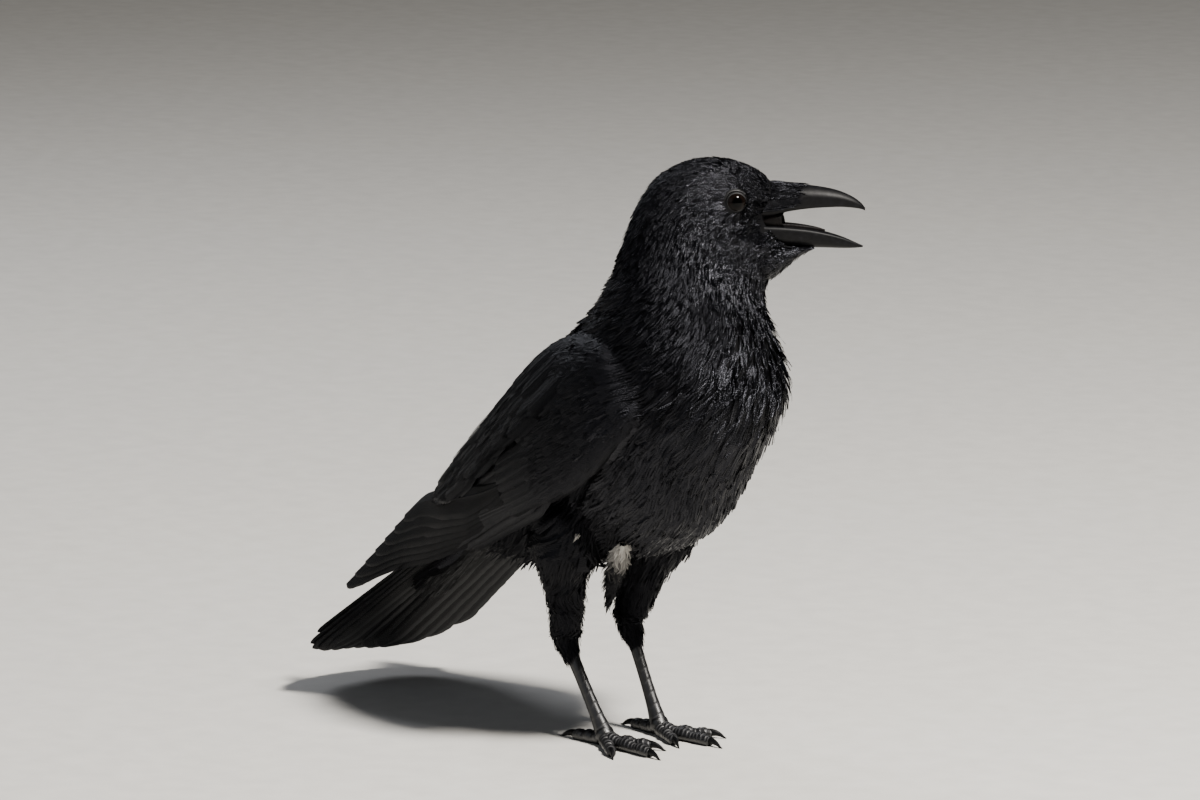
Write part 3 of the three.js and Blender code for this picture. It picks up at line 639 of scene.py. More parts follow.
def vanes(form, t, a, length, width, low, high, rng, veer=0.0, heading=-1, rows=6, strands=4, cup=0.2,
          rounding=0.4, fray=0.3, taper=0.94, rise=1.0, twist=0.15, bend=0.2, shaft=0.0, ruffle=0.04,
          steer=None, after=None):
    """Small feathers laid over a form. A path walks over the surface from each root at (t, a), following the
    way the form runs turned by veer. Side by side on it lie strands of barbs, which reach 1 less rounding
    times the square of their way out, less a random fray, and narrow to 1 less taper of their width. Their
    height off the form goes from low to high along the path as its power rise, and falls by cup times the
    distance out. Twist tips a feather sideways, bend curls its path, and ruffle lifts single barbs."""
    n, marks = len(t), 9
    t0, a0 = t, a
    given = (length, width, low, high, veer)
    length, width, low, high, veer = (np.broadcast_to(np.asarray(value, float), n) for value in given)
    curl = rng.normal(0, bend, n)
    path = np.empty((n, marks, 7))
    for i in range(marks):
        point, run, turn, outward = slopes(form, t, a)
        base = unit(run * heading)
        angle = (veer + curl * i / (marks - 1))[:, None]
        lie = unit(base * np.cos(angle) + np.cross(outward, base) * np.sin(angle))
        lie = lie if steer is None else steer(point, lie, outward)
        path[:, i] = np.column_stack([t, a, *steps(run, turn, np.cross(outward, lie)), outward])
        dt, da = steps(run, turn, lie)
        t, a = t + dt * length / (marks - 1), a + da * length / (marks - 1)
    middle = (np.arange(strands) + 0.5) / strands * 2 - 1
    end = 1 - rounding * middle**2 - fray * rng.random((n, strands))
    s = np.linspace(0, 1, rows) ** 0.9
    far = s[:, None] * end[:, None, :]
    place = far * (marks - 1)
    low_mark = np.minimum(place.astype(int), marks - 2)
    each = np.arange(n)[:, None, None]
    spot, following = path[each, low_mark], path[each, low_mark + 1]
    spot = spot + (following - spot) * (place - low_mark)[..., None]
    thin = 1.12 * (1 - taper * s**3.5) / strands
    c = middle[None, :, None] + thin[:, None, None] * np.array([-1, 1])
    spread = (width[:, None, None] / 2 * np.minimum(1, 0.4 + 1.3 * far))[..., None] * c
    height = low[:, None, None] + (high - low)[:, None, None] * far**rise
    height = height[..., None] - cup * np.abs(spread) * np.abs(c)
    height = height + rng.normal(0, twist, n)[:, None, None, None] * spread
    lifted = rng.normal(0, ruffle, (n, 1, strands, 2)) * width[:, None, None, None] * s[:, None, None]
    height = height + lifted
    height = height + shaft * np.exp(-(c / SHAFT_WIDTH) ** 2)
    grid = form(spot[..., 0:1] + spread * spot[..., 2:3], spot[..., 1:2] + spread * spot[..., 3:4])
    grid = grid + spot[..., None, 4:7] * height[..., None]
    grid = grid if after is None else after(grid, height)
    first = (np.arange(n) * rows * strands * 2)[:, None, None]
    i, j = np.meshgrid(np.arange(rows - 1) * strands * 2, np.arange(strands) * 2, indexing="ij")
    corner, below = first + i + j, first + i + strands * 2 + j
    quads = np.stack([corner, below, below + 1, corner + 1], -1)
    root = np.stack([t0 / 24.0, (a0 / (2 * np.pi)) % 1.0], -1) * 0.99
    patch = np.stack(np.broadcast_arrays((c + 1.2) / 2.4 * ROOT_PATCH, far[..., None] * ROOT_PATCH), -1)
    along = far[..., None] * length[:, None, None, None] + 0 * spread
    ones = np.ones((n, rows, strands, 2))
    return {
        "body": (grid.reshape(-1, 3), quads.reshape(-1, 4), np.zeros((0, 3), int)),
        "Vane": (np.stack([spread, along], -1) / 10).reshape(-1, 2),
        "OFBake": (root[:, None, None, None] + patch).reshape(-1, 2),
        "own": (ones * (0.75 * rng.random((n, 1, 1, 1)) + 0.25 * rng.random((n, 1, strands, 1)))).ravel(),
        # how far out along the feather; the material lightens the tip with it, partly wear and partly a
        # painted highlight
        "reach": (ones * far[..., None]).ravel(),
    }


def coat_piece(name, beds, material):
    """Beds of feathers as one piece, with their maps, their own tones and how far out each point is."""
    merged = {key: np.concatenate([bed[key] for bed in beds]) for key in ("Vane", "OFBake", "own", "reach")}
    return mesh_piece(name, joined([bed["body"] for bed in beds]), material,
                      maps=[("Vane", merged["Vane"]), ("OFBake", merged["OFBake"])],
                      values=[("own", merged["own"]), ("reach", merged["reach"])])


def plumage(name, dark, light, roughness, barb_mm, depth_mm, gloss=0.3):
    """Feathers: keratin, black with melanin, with a silky, faintly violet-blue gloss. Barbs run out from the
    shaft to the tip in fine ribs, drawn a few times coarser than the real 0.3 mm so that they show, and each
    feather is a touch lighter or darker than its neighbour, and lighter towards its tip and rim: partly wear,
    partly a painted edge highlight."""
    material, shader = new_material(name, Roughness=roughness, IOR=1.5, Specular_IOR_Level=gloss,
                                    Specular_Tint=linear("#eceeff"))
    links = material.node_tree.links
    own = add_node(material, "ShaderNodeAttribute", attribute_name="own").outputs["Fac"]
    reach = add_node(material, "ShaderNodeAttribute", attribute_name="reach").outputs["Fac"]
    uv = add_node(material, "ShaderNodeUVMap", uv_map="Vane").outputs["UV"]
    split = add_node(material, "ShaderNodeSeparateXYZ", [("Vector", uv)])
    off = add_node(material, "ShaderNodeMath", [(0, split.outputs["X"])], operation="ABSOLUTE").outputs[0]
    swept = add_node(material, "ShaderNodeMath", [(0, off), (2, split.outputs["Y"])],
                     operation="MULTIPLY_ADD", i1=-1.3).outputs[0]
    turns = add_node(material, "ShaderNodeMath", [(0, swept)],
                     operation="MULTIPLY", i1=2 * np.pi * 10 / barb_mm).outputs[0]
    jitter = add_node(material, "ShaderNodeTexNoise", [("Vector", uv)], scale=14.0, detail=3.0).outputs["Fac"]
    turns = add_node(material, "ShaderNodeMath", [(0, jitter), (2, turns)],
                     operation="MULTIPLY_ADD", i1=9.0).outputs[0]
    ribs = add_node(material, "ShaderNodeMath", [(0, turns)], operation="SINE").outputs[0]
    bump = add_node(material, "ShaderNodeBump", [("Height", ribs)], strength=0.6, distance=depth_mm / 1000)
    links.new(bump.outputs["Normal"], shader.inputs["Normal"])
    place = add_node(material, "ShaderNodeTexCoord").outputs["Object"]
    blotch = add_node(material, "ShaderNodeTexNoise", [("Vector", place)],
                      scale=38.0, detail=2.0).outputs["Fac"]
    tone = add_node(material, "ShaderNodeMath", [(0, own), (1, blotch)], operation="MULTIPLY").outputs[0]
    # Tip and rim are lightened through reach: partly wear, partly a painted edge highlight.
    tone = add_node(material, "ShaderNodeMath", [(0, reach), (2, tone)],
                    operation="MULTIPLY_ADD", i1=0.22).outputs[0]
    colour = add_node(material, "ShaderNodeValToRGB", [("Fac", tone)], stops=[(0.1, dark), (0.75, light)])
    links.new(colour.outputs["Color"], shader.inputs["Base Color"])
    rough = add_node(material, "ShaderNodeMapRange", [("Value", jitter)],
                     to_min=roughness - 0.1, to_max=roughness + 0.14)
    links.new(rough.outputs[0], shader.inputs["Roughness"])
    return material


nape_black = plumage("black_nape_feather", "#010102", "#050506", 0.33, 1.2, 0.1, gloss=0.15)
face_black = plumage("black_face_feather", "#010102", "#050506", 0.23, 1.2, 0.11, gloss=0.29)
EYES = [in_neck(24.9, 285.2, HEAD_TURN, side * 18.2) for side in (-1, 1)]


def round_the_eye(point, lie, outward):
    """Feathers near an eye turn away from it, more the closer they are."""
    for eye in EYES:
        away = point - eye
        far = np.linalg.norm(away, axis=-1, keepdims=True)
        lie = unit(lie + away / far * 1.5 * np.exp(-(far / 8.5) ** 2))
    return unit(lie - outward * (lie * outward).sum(-1, keepdims=True))


def by_station(stations, numbers):
    """A value that goes through numbers at given body stations."""
    return lambda t: np.interp(t, stations, numbers)


HEAD_LONG = by_station([14, 16, 18, 19.5, 21], [13, 10, 7.5, 6, 4])
HEAD_WIDE = by_station([14, 16, 18, 19.5, 21], [4.2, 3.2, 2.3, 1.9, 1.4])


def head_feathers(rng):
    """The bed of face feathers and that of crown and nape, where the feathers lie flatter. Feathers that
    lie towards an eye stop short of it."""
    t, a = strewn(body_form, (14.6, 20.97), (-180, 180), lambda t: HEAD_WIDE(t) * 0.52, 0.3)
    spot = body_form(t, a)
    near = np.min([np.linalg.norm(spot - eye, axis=-1) for eye in EYES], axis=0)
    forward = (spot[:, 0] - NECK_X) * np.cos(HEAD_TURN) + spot[:, 1] * np.sin(HEAD_TURN)
    keep = (near > 5.5) & (forward < np.interp(spot[:, 2], *FACE_EDGE.T) + 0.6)
    t, a, near = t[keep], a[keep], near[keep]
    length = HEAD_LONG(t) * rng.uniform(0.8, 1.2, len(t))
    point, run, _, _ = slopes(body_form, t, a)
    first = np.linalg.norm(point - EYES[0], axis=-1) < np.linalg.norm(point - EYES[1], axis=-1)
    eye = np.where(first[:, None], EYES[0], EYES[1])
    towards = (unit(-run) * unit(eye - point)).sum(-1)
    length = np.where(towards > 0.35, np.minimum(length, np.maximum(1.4, (near - 5.2) * 0.9)), length)
    stand = by_station([14, 17, 19, 21], [0.9, 0.6, 0.45, 0.25])(t)
    width = HEAD_WIDE(t) * rng.uniform(0.85, 1.15, len(t))
    high = stand * rng.uniform(-0.8, 1.4, len(t))
    lean = np.abs((a + np.pi) % (2 * np.pi) - np.pi)
    crown = t + rng.normal(0, 0.3, len(t)) < np.interp(lean, [0, 0.6, 1.3, 1.9], [19.4, 18.6, 16.2, 14.5])
    return [vanes(body_form, t[part], a[part], length[part], width[part], -through(DEPTH, t[part]),
                  high[part] * calm, rng, veer=rng.normal(0, 0.1, part.sum()), rows=5, strands=3,
                  rounding=0.35, fray=0.35, twist=twist, bend=0.12, steer=round_the_eye)
            for part, calm, twist in ((~crown, 1.0, 0.4), (crown, 0.6, 0.22))]


def chin_feathers(rng):
    """Short feathers under the lower bill, all but where the chin lies inside it."""
    t, a = strewn(chin_form, (0.6, 3.9), (38, 322), 1.25, 0.1)
    return vanes(chin_form, t, a, 7.5 * rng.uniform(0.8, 1.2, len(t)), 2.2, -0.9, rng.uniform(0, 1.2, len(t)),
                 rng, rows=5, strands=3, rounding=0.5)


face, crown = head_feathers(np.random.default_rng(11))
coat_piece("crown_and_nape_feathers", [crown], nape_black)
coat_piece("head_feathers", [face, chin_feathers(np.random.default_rng(12))], face_black)

# ---------------------------------------------------------------- bristles over the nostrils
# Stiff, hair-like feathers that spring from the forehead and the lores and lie forward along the base of
# the bill, hiding the nostrils. Each is a slim pointed blade, and together they make a dense brush.


BRISTLES = 1900


def nasal_bristles(rng):
    """Single strands laid forward over the base of the upper bill, in turn on either side of its ridge."""
    n = BRISTLES
    side = np.where(np.arange(n) % 2, 1, -1)
    u, v = ((np.arange(n) * step) % 1 for step in EVEN_STEPS)
    a = side * np.radians(4 + 94 * v)
    t = -0.1 + 1.55 * u
    form = bill_form(UPPER_BILL, -1)
    length = (19 - 4 * (np.abs(a) / 1.57)) * rng.uniform(0.7, 1.1, n) * (1 - 0.15 * u)
    return vanes(form, t, a, length, rng.uniform(0.6, 0.9, n), 0.1, rng.uniform(0.2, 1.0, n), rng,
                 veer=-side * 0.06 + rng.normal(0, 0.1, n), heading=1, rows=7, strands=1, cup=0.3, twist=0.5)


bristle_black = plumage("black_bristle_feather", "#020203", "#060607", 0.34, 1.0, 0.05, gloss=0.2)
coat_piece("nasal_bristles", [nasal_bristles(np.random.default_rng(21))], bristle_black)

# ---------------------------------------------------------------- neck feathers and throat hackles
# Round the back and sides of the neck the feathers are silky and close. Down the throat they are long,
# narrow and pointed, and stand apart in a shaggy beard as the bird calls.

NECK_LONG = by_station([9, 11, 13, 15], [25, 21, 17, 13])
NECK_WIDE = by_station([9, 11, 13, 15], [11, 8.5, 6.2, 4.4])


def beside_a_wing(points):
    """Where points lie by the wing on their own side: how far along the trunk, up the wing's height and out
    of its face from its middle line, with the wing's station and lean there."""
    rel = points - MIDDLE
    along = rel[..., 0] * np.cos(PITCH) + rel[..., 2] * np.sin(PITCH)
    high = rel[..., 2] * np.cos(PITCH) - rel[..., 0] * np.sin(PITCH)
    out = np.abs(points[..., 1])
    s = through(WING, np.interp(-along, -WING[:, 0], np.arange(len(WING))))
    lean = np.radians(s[..., 5])
    u = (high - s[..., 1]) * np.cos(lean) - (out - s[..., 2]) * np.sin(lean)
    v = (out - s[..., 2]) * np.cos(lean) + (high - s[..., 1]) * np.sin(lean)
    return along, u, v, s, lean


def out_over_wings(grid, height, clear=0.4):
    """Points that fall inside a folded wing move straight out of it, to their own height over its outer face
    and clear of it. The wing ends 84 mm along the trunk."""
    along, u, v, s, lean = beside_a_wing(grid)
    fade = np.clip((84 - along) / 10, 0, 1) ** 0.5
    rim = s[..., 4] * fade * np.sqrt(np.clip(1 - (u / s[..., 3]) ** 2, 0, 1))
    inside = (np.abs(u) < s[..., 3]) & (v > -rim) & (v < rim + clear + height)
    v = np.where(inside, rim + clear + height, v)
    out = s[..., 2] - np.sin(lean) * u + np.cos(lean) * v
    high = s[..., 1] + np.cos(lean) * u + np.sin(lean) * v
    moved = in_trunk(along, np.sign(grid[..., 1]) * out, high)
    return np.where(inside[..., None], moved, grid)


def under_a_wing(points, share=0.9):
    """Which points lie within a folded wing, or between it and the body, and need no feather."""
    along, u, v, s, _ = beside_a_wing(points)
    within = (u / s[..., 3]) ** 2 + (np.maximum(v, 0) / s[..., 4]) ** 2 < share**2
    return within & (along < 74) & (along > -120) & (np.abs(u) < s[..., 3] * share)


def neck_feathers(rng):
    """Rounded feathers round the back and sides of the neck, which run out over the wings' shoulders."""
    t, a = strewn(body_form, (9.6, 15.2), (-125, 125), lambda t: NECK_WIDE(t) * 0.43, 0.7)
    keep = ~under_a_wing(body_form(t, a))
    t, a = t[keep], a[keep]
    n = len(t)
    length = NECK_LONG(t) * rng.uniform(0.85, 1.15, n)
    width = NECK_WIDE(t) * rng.uniform(0.85, 1.15, n)
    return vanes(body_form, t, a, length, width, -through(DEPTH, t), rng.uniform(-0.6, 0.9, n), rng,
                 veer=rng.normal(0, 0.08, n), rows=6, strands=5, rounding=0.4, fray=0.2, after=out_over_wings)


def throat_hackles(rng):
    """Narrow pointed feathers down the throat, each standing off the next by up to a few millimetres."""
    t, a = strewn(body_form, (10.6, 17.6), (112, 248), lambda t: 2.5 + 0.3 * (16 - t), 0.5)
    n = len(t)
    length = by_station([10.5, 13, 15, 17.6], [27, 25, 20, 10])(t) * rng.uniform(0.75, 1.15, n)
    stand = by_station([10.5, 12, 15, 17.6], [0.8, 2.6, 2.4, 0.8])(t)
    width = by_station([10.5, 13, 17.6], [7.5, 4.6, 3.0])(t) * rng.uniform(0.8, 1.2, n)
    return vanes(body_form, t, a, length, width, -through(DEPTH, t), stand * rng.uniform(-0.5, 1.25, n), rng,
                 veer=rng.normal(0, 0.12, n), rows=8, strands=4, rounding=0.75, fray=0.25, rise=1.4,
                 twist=0.3, bend=0.3)


coat_piece("neck_feathers", [neck_feathers(np.random.default_rng(31))], nape_black)
coat_piece("throat_hackles", [throat_hackles(np.random.default_rng(32))], face_black)

# ---------------------------------------------------------------- feathers of the trunk and thighs
# Broad rounded feathers over mantle and rump, looser and longer ones down the breast and belly, and soft
# ragged ones that hang from belly and flanks over the tops of the legs and sheathe them to the ankle. Loose
# pale down shows between the legs.

TRUNK_LONG = by_station([2, 3, 5, 8, 10.6], [40, 40, 36, 32, 27])
TRUNK_WIDE = by_station([2, 3, 5, 8, 10.6], [14, 15, 15, 13.5, 10.5])


def trunk_feathers(rng, t_span, a_span, spacing, start, stand, **shape):
    """Feathers over part of the trunk, spaced by a share of their width, with tips up to stand above it."""
    t, a = strewn(body_form, t_span, a_span, lambda t: TRUNK_WIDE(t) * spacing, start)
    keep = ~under_a_wing(body_form(t, a))
    t, a = t[keep], a[keep]
    n = len(t)
    length = TRUNK_LONG(t) * rng.uniform(0.85, 1.15, n)
    width = TRUNK_WIDE(t) * rng.uniform(0.85, 1.15, n)
    return vanes(body_form, t, a, length, width, -through(DEPTH, t), stand * rng.uniform(-0.6, 1.0, n), rng,
                 veer=rng.normal(0, 0.07, n), rows=8, strands=8, after=out_over_wings, **shape)


contour_black = plumage("black_contour_feather", "#010102", "#060607", 0.28, 1.2, 0.1, gloss=0.26)
back = trunk_feathers(np.random.default_rng(41), (3.4, 10.2), (-84, 84), spacing=0.36, start=0.2,
                      stand=0.4, rounding=0.4, fray=0.05, taper=0.3, ruffle=0.012)
breast = trunk_feathers(np.random.default_rng(42), (4.3, 11.2), (88, 272), spacing=0.315, start=0.6,
                        stand=0.6, rounding=0.45, fray=0.14, taper=0.6, ruffle=0.03)
coat_piece("back_feathers", [back], contour_black)
coat_piece("breast_and_belly_feathers", [breast], contour_black)


def belly_skirt(rng):
    """Loose feathers that hang from the lower belly and flanks over the tops of the legs."""
    t, a = strewn(body_form, (4.3, 8.9), (128, 232), 4.2, 0.35)
    n = len(t)
    reach = by_station([4.3, 5.3, 6, 7, 8, 8.9], [4, 10, 11, 5, 7, 2])(t)
    reach = reach * np.interp(np.abs(a - np.pi), [0, 0.35, 0.9], [0.5, 1, 0.7])
    return vanes(body_form, t, a, 27 * rng.uniform(0.7, 1.15, n), 7.5 * rng.uniform(0.8, 1.2, n),
                 -through(DEPTH, t), reach * rng.uniform(0.1, 1.1, n), rng, veer=rng.normal(0, 0.2, n),
                 rows=8, strands=5, rounding=0.6, fray=0.35, rise=1.5, twist=0.3, bend=0.35)


def out_over_thighs(grid, height, clear=0.4):
    """Points inside a thigh's outer side, or the dome over its top, move straight out from its middle line to
    their own height over it."""
    for name, side in SIDES.items():
        turn = np.array([1, side, 1])
        knee, line = KNEE[name] * turn, (np.array(ANKLE[name]) - KNEE[name]) * turn
        s = np.clip((grid - knee) @ line / (line @ line), 0, 0.6)
        away = grid - knee - s[..., None] * line
        far = np.linalg.norm(away, axis=-1)
        rim = np.interp(s, [0, 0.26, 0.52, 0.6], [20.5, 20, 13.5, 12.5]) + clear + height
        inside = (far < rim) & (away[..., 1] * side > -4)
        moved = knee + s[..., None] * line + away * (rim / np.maximum(far, 1))[..., None]
        grid = np.where(inside[..., None], moved, grid)
    return grid


def flank_feathers(rng, side):
    """Long soft feathers rooted under the wing's lower edge, which fall over the top of the thigh."""
    t, a = strewn(body_form, (4.9, 9.4), (90, 130) if side > 0 else (-130, -90), 4.8, 0.15)
    n = len(t)
    reach = by_station([4.9, 6.2, 8, 9.4], [2, 4, 4, 1])(t)
    return vanes(body_form, t, a, 44 * rng.uniform(0.8, 1.1, n), 11 * rng.uniform(0.85, 1.15, n),
                 -through(DEPTH, t), reach * rng.uniform(0.4, 1.1, n), rng,
                 veer=-side * 0.4 + rng.normal(0, 0.12, n), rows=9, strands=7, rounding=0.5, fray=0.16,
                 taper=0.7, rise=1.3, bend=0.08, twist=0.06, after=out_over_thighs)


soft_black = plumage("black_soft_feather", "#010102", "#050506", 0.42, 1.2, 0.08, gloss=0.13)
coat_piece("belly_skirt", [belly_skirt(np.random.default_rng(44))], soft_black)
flanks = [flank_feathers(np.random.default_rng(47 + side), side) for side in (-1, 1)]
coat_piece("flank_feathers", flanks, soft_black)


def thigh_feathers(name, rng):
    """Soft feathers down a leg, long over the knee and short at the ankle, where they stand out in front."""
    form = thigh_form(name)
    t, a = strewn(form, (-0.7, 4.85), (-180, 180), by_station([0, 2.5, 4.6], [4.2, 2.8, 1.7]), 0.4)
    n = len(t)
    size = by_station([0, 2.2, 3.2, 4.8], [1.0, 0.75, 0.42, 0.34])(t)
    high = by_station([0, 1, 2.5, 3.6, 4.8], [3.0, 1.8, 0.9, 0.25, 0.2])(t)
    full = by_station([1.6, 2.8, 4.0, 4.8], [0.4, 2.4, 2.0, 0.3])(t)
    high = high + full * (0.7 + 0.3 * np.clip(np.cos(a), 0, 1))
    return vanes(form, t, a, 22 * size * rng.uniform(0.8, 1.2, n), 8 * size * rng.uniform(0.8, 1.2, n),
                 -2.6 * size, high * rng.uniform(-0.2, 1.0, n), rng, veer=rng.normal(0, 0.12, n), heading=1,
                 rows=6, strands=5, rounding=0.5, fray=0.3)


thighs = [thigh_feathers(name, np.random.default_rng(43 + side)) for name, side in SIDES.items()]
coat_piece("thigh_feathers", thighs, soft_black)


def vent_down(rng):
    """Loose tufts down a bent cone, palest where they leave the belly and darkening to the tip."""
    form = limb_form([(18, -26.8, 110), (6.2, -20.8, 98), (-8.2, -11.6, 84), (-16.6, -7.2, 70.5)],
                     [4.2, 5.6, 4.6, 1.5])
    t, a = strewn(form, (0.0, 2.7), (-180, 180), 2.2, 0.4)
    n = len(t)
    length = by_station([0, 0.6, 2.7], [8, 13, 16])(t) * rng.uniform(0.7, 1.2, n)
    bed = vanes(form, t, a, length, 3 * rng.uniform(0.7, 1.3, n), -2.5, 2 * rng.uniform(-0.8, 1.2, n), rng,
                veer=rng.normal(0, 0.34, n), heading=1, rows=7, strands=4, rounding=0.4, fray=0.55, twist=0.5,
                bend=0.6)
    pale = by_station([0, 0.3, 0.6, 1.0, 1.6, 2.7], [1.3, 1.1, 0.5, 0.0, -0.2, -0.15])(t)
    pale = pale * rng.uniform(0.7, 1.1, n)
    return {**bed, "own": np.repeat(pale, len(bed["own"]) // n)}


def pale_fleck(rng):
    """A little loose down caught in the feathers on the outside of the right thigh."""
    form = limb_form([(0.6, -41.2, 114.2), (-0.4, -41.8, 112.6), (-1.8, -42.2, 110.8)], [1.0, 1.5, 0.6])
    t, a = strewn(form, (0.0, 1.9), (-180, 180), 0.9, 0.4)
    n = len(t)
    bed = vanes(form, t, a, 2.6 * rng.uniform(0.6, 1.2, n), 0.9, -0.6, rng.uniform(-0.2, 0.6, n), rng,
                veer=rng.normal(0, 0.4, n), heading=1, rows=5, strands=3, fray=0.4, twist=0.4, bend=0.4)
    return {**bed, "own": np.full(len(bed["own"]), 1.1)}


pale_down = plumage("pale_grey_down", "#161617", "#b4b1ab", 0.85, 1.4, 0.2, gloss=0.15)
tufts = [vent_down(np.random.default_rng(46)), pale_fleck(np.random.default_rng(48))]
coat_piece("vent_down_tufts", tufts, pale_down)

# ---------------------------------------------------------------- long feathers of the folded wings
# Stiff flight feathers, closed like a fan under rows of coverts: stacked primaries reach along the tail, the
# secondaries show as stepped edges above them, and three broad tertials close the top. Each is a thin
# cambered plate with a raised shaft.

PLATE = np.array([-1, -0.7, -0.4, -0.14, -0.045, 0, 0.045, 0.14, 0.4, 0.7, 1.0])  # across, the shaft at 0
RIM_THICK = 0.04  # half the thickness of a vane at its rim


def plumes(path, outward, half, rng, camber=0.1, thick=0.55, shaft=0.55, uneven=0.0, blunt=0.5, tip=0.16):
    """Long feathers, each a closed thin plate carried along its path. Across, the plate is a lens of the
    given thickness that droops by camber times the half width times the square of the way out, with a raised
    shaft in the middle. Uneven makes one vane narrower. Over the share of its length called tip, the feather
    closes as 1 less the square of the way to its end, to the power blunt."""
    n, rows = path.shape[:2]
    s = np.linspace(0, 1, rows)
    lie = unit(np.gradient(path, axis=1))
    outward = unit(outward - lie * (outward * lie).sum(-1, keepdims=True))
    across = np.cross(outward, lie)
    x = np.clip((s - (1 - tip)) / tip, 0, 0.99)
    wide = half[:, None] * np.minimum(1, 0.42 + 2.2 * s) * (1 - x**2) ** blunt
    wide = wide * (1 + rng.normal(0, 0.012, (n, rows)))
    c = PLATE * np.where(PLATE > 0, 1 + uneven, 1 - uneven)
    fall = -camber * c**2
    lens = thick / 2 * np.sqrt(np.clip(1 - PLATE**2, 0, 1)) + RIM_THICK
    ridge = shaft * np.exp(-(PLATE / 0.05) ** 2) * (1 - 0.75 * s[:, None])
    sheet = path[:, :, None] + across[:, :, None] * (wide[..., None] * c)[..., None]
    drop = wide[..., None] * fall
    top = sheet + outward[:, :, None] * (drop + lens + ridge)[..., None]
    under = sheet + outward[:, :, None] * (drop - lens)[..., None]
    grid = np.concatenate([top, under[:, :, ::-1]], axis=2)
    sides = grid.shape[2]
    bodies, maps, vane, own, reach = [], [], [], [], []
    for k in range(n):
        body = tube(grid[k])
        bodies.append(body)
        # Each corner's row and column on the plate unrolled flat, in a strip of the map of its own.
        corner = np.concatenate([body[1].ravel(), body[2].ravel()])
        i, j = np.divmod(corner, sides)
        pole = corner >= rows * sides
        row = np.where(pole, np.where(corner == rows * sides, 0, rows - 1), i)
        columns = body[1] % sides
        over_seam = columns.max(1) - columns.min(1) > sides / 2
        wrap = np.concatenate([np.repeat(over_seam, 4), np.zeros(len(body[2]) * 3, bool)])
        column = np.where(pole, sides / 2, np.where(wrap & (j == 0), sides, j))
        maps.append(np.stack([(k + 0.03 + 0.94 * column / sides) / n, 0.02 + 0.96 * row / (rows - 1)], -1))
        x_mm = np.concatenate([wide[k][:, None] * c, wide[k][:, None] * c[::-1]], 1)
        y_mm = np.repeat((s * np.linalg.norm(path[k, -1] - path[k, 0]))[:, None], sides, 1)
        places = np.stack([x_mm, y_mm], -1).reshape(-1, 2)
        vane.append(np.concatenate([places, [[0, 0], [0, y_mm.max()]]]) / 10)
        own.append(np.full(rows * sides + 2, rng.random()))
        # Tip and both edges of each plate are marked for lightening: partly wear, partly a painted edge
        # highlight.
        rim = np.maximum(s[:, None] * 0.8, np.abs(np.concatenate([PLATE, PLATE[::-1]])) ** 3)
        reach.append(np.concatenate([rim.ravel(), [0, 1]]))
    quads = [len(b[1]) * 4 for b in bodies]
    bake = np.concatenate([m[:q] for m, q in zip(maps, quads)] + [m[q:] for m, q in zip(maps, quads)])
    return {"body": joined(bodies), "Vane": np.concatenate(vane), "OFBake": bake, "own": np.concatenate(own),
            "reach": np.concatenate(reach)}


def laid_on(form, root, tip, low, high, rows, late=1.0):
    """Paths over a form from roots to tips given as (t, degrees), even along it while the angle changes as
    the way along to the power late, and off it by a height that goes from low to high."""
    s = np.linspace(0, 1, rows)[None, :]
    t = root[:, :1] + (tip[:, :1] - root[:, :1]) * s
    a = np.radians(root[:, 1:] + (tip[:, 1:] - root[:, 1:]) * s**late)
    point, _, _, outward = slopes(form, t, a)
    height = low[:, None] + (high - low)[:, None] * s
    return point + outward * height[..., None], outward


flight_black = plumage("black_flight_feather", "#010101", "#040405", 0.55, 1.1, 0.08, gloss=0.11)
covert_black = plumage("black_covert_feather", "#010102", "#050506", 0.4, 1.2, 0.09, gloss=0.16)


PRIMARY_HALF, SECONDARY_HALF, TERTIAL_HALF = 8.2, 10.5, 13.0  # half the widths of the feathers
LONGEST_TIP, TIP_STEP = -200, 9  # where the primaries end along the trunk's axis


def wing_plumes(form, rng, side):
    """Three fans of long feathers, each from the lowest up: every feather lies a little further out of the
    wing than the one before it and ends at a step from it. Roots and tips are a station and degrees."""
    k = np.arange(7)
    ends = np.interp(LONGEST_TIP + TIP_STEP * k, WING[::-1, 0], np.arange(len(WING))[::-1])
    roots, tips = np.stack([4.4 + 0 * k, 158 - 5 * k], -1), np.stack([ends, 70 - 6.0 * k], -1)
    primaries = plumes(*laid_on(form, roots, tips, -4.2 + 0.4 * k, -1.4 + 0.4 * k, 46, 1.8),
                       np.full(7, PRIMARY_HALF), rng, camber=0.06, uneven=-0.3 * side, tip=0.17, blunt=0.62)
    k = np.arange(9)
    roots = np.stack([3.2 + 0.02 * k, 150 - 9.5 * k], -1)
    tips = np.stack([5.9 + 0.16 * k, 160 - 10.5 * k], -1)
    secondaries = plumes(*laid_on(form, roots, tips, -5.0 + 0.32 * k, -4.4 + 0.4 * k, 40),
                         np.full(9, SECONDARY_HALF), rng, camber=0.06, uneven=-0.2 * side, tip=0.1)
    k = np.arange(4)
    roots = np.array([[3.3, 82], [3.2, 66], [3.1, 50], [3.0, 36]], float)
    tips = np.array([[7.85, 62], [6.9, 44], [6.1, 32], [5.35, 20]], float)
    tertials = plumes(*laid_on(form, roots, tips, -3.8 + 0.4 * k, -2.8 + 0.45 * k, 40),
                      TERTIAL_HALF - 0.4 * k, rng, camber=0.07, tip=0.16)
    return primaries, secondaries, tertials


for name, side in SIDES.items():
    primaries, secondaries, tertials = wing_plumes(wing_form(side), np.random.default_rng(61 + side), side)
    primaries = coat_piece(f"primary_feathers_{name}", [primaries], flight_black)
    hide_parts(f"primaries_{name}")
    coat_piece(f"secondary_feathers_{name}", [secondaries], covert_black)
    coat_piece(f"tertial_feathers_{name}", [tertials], covert_black)

# ---------------------------------------------------------------- coverts and scapulars of the wings
# Small rounded coverts shingle the front of the wing and grow into rows that lie over the bases of the
# flight feathers. Broad scapulars run back from the shoulder and hide where the wing meets the back.


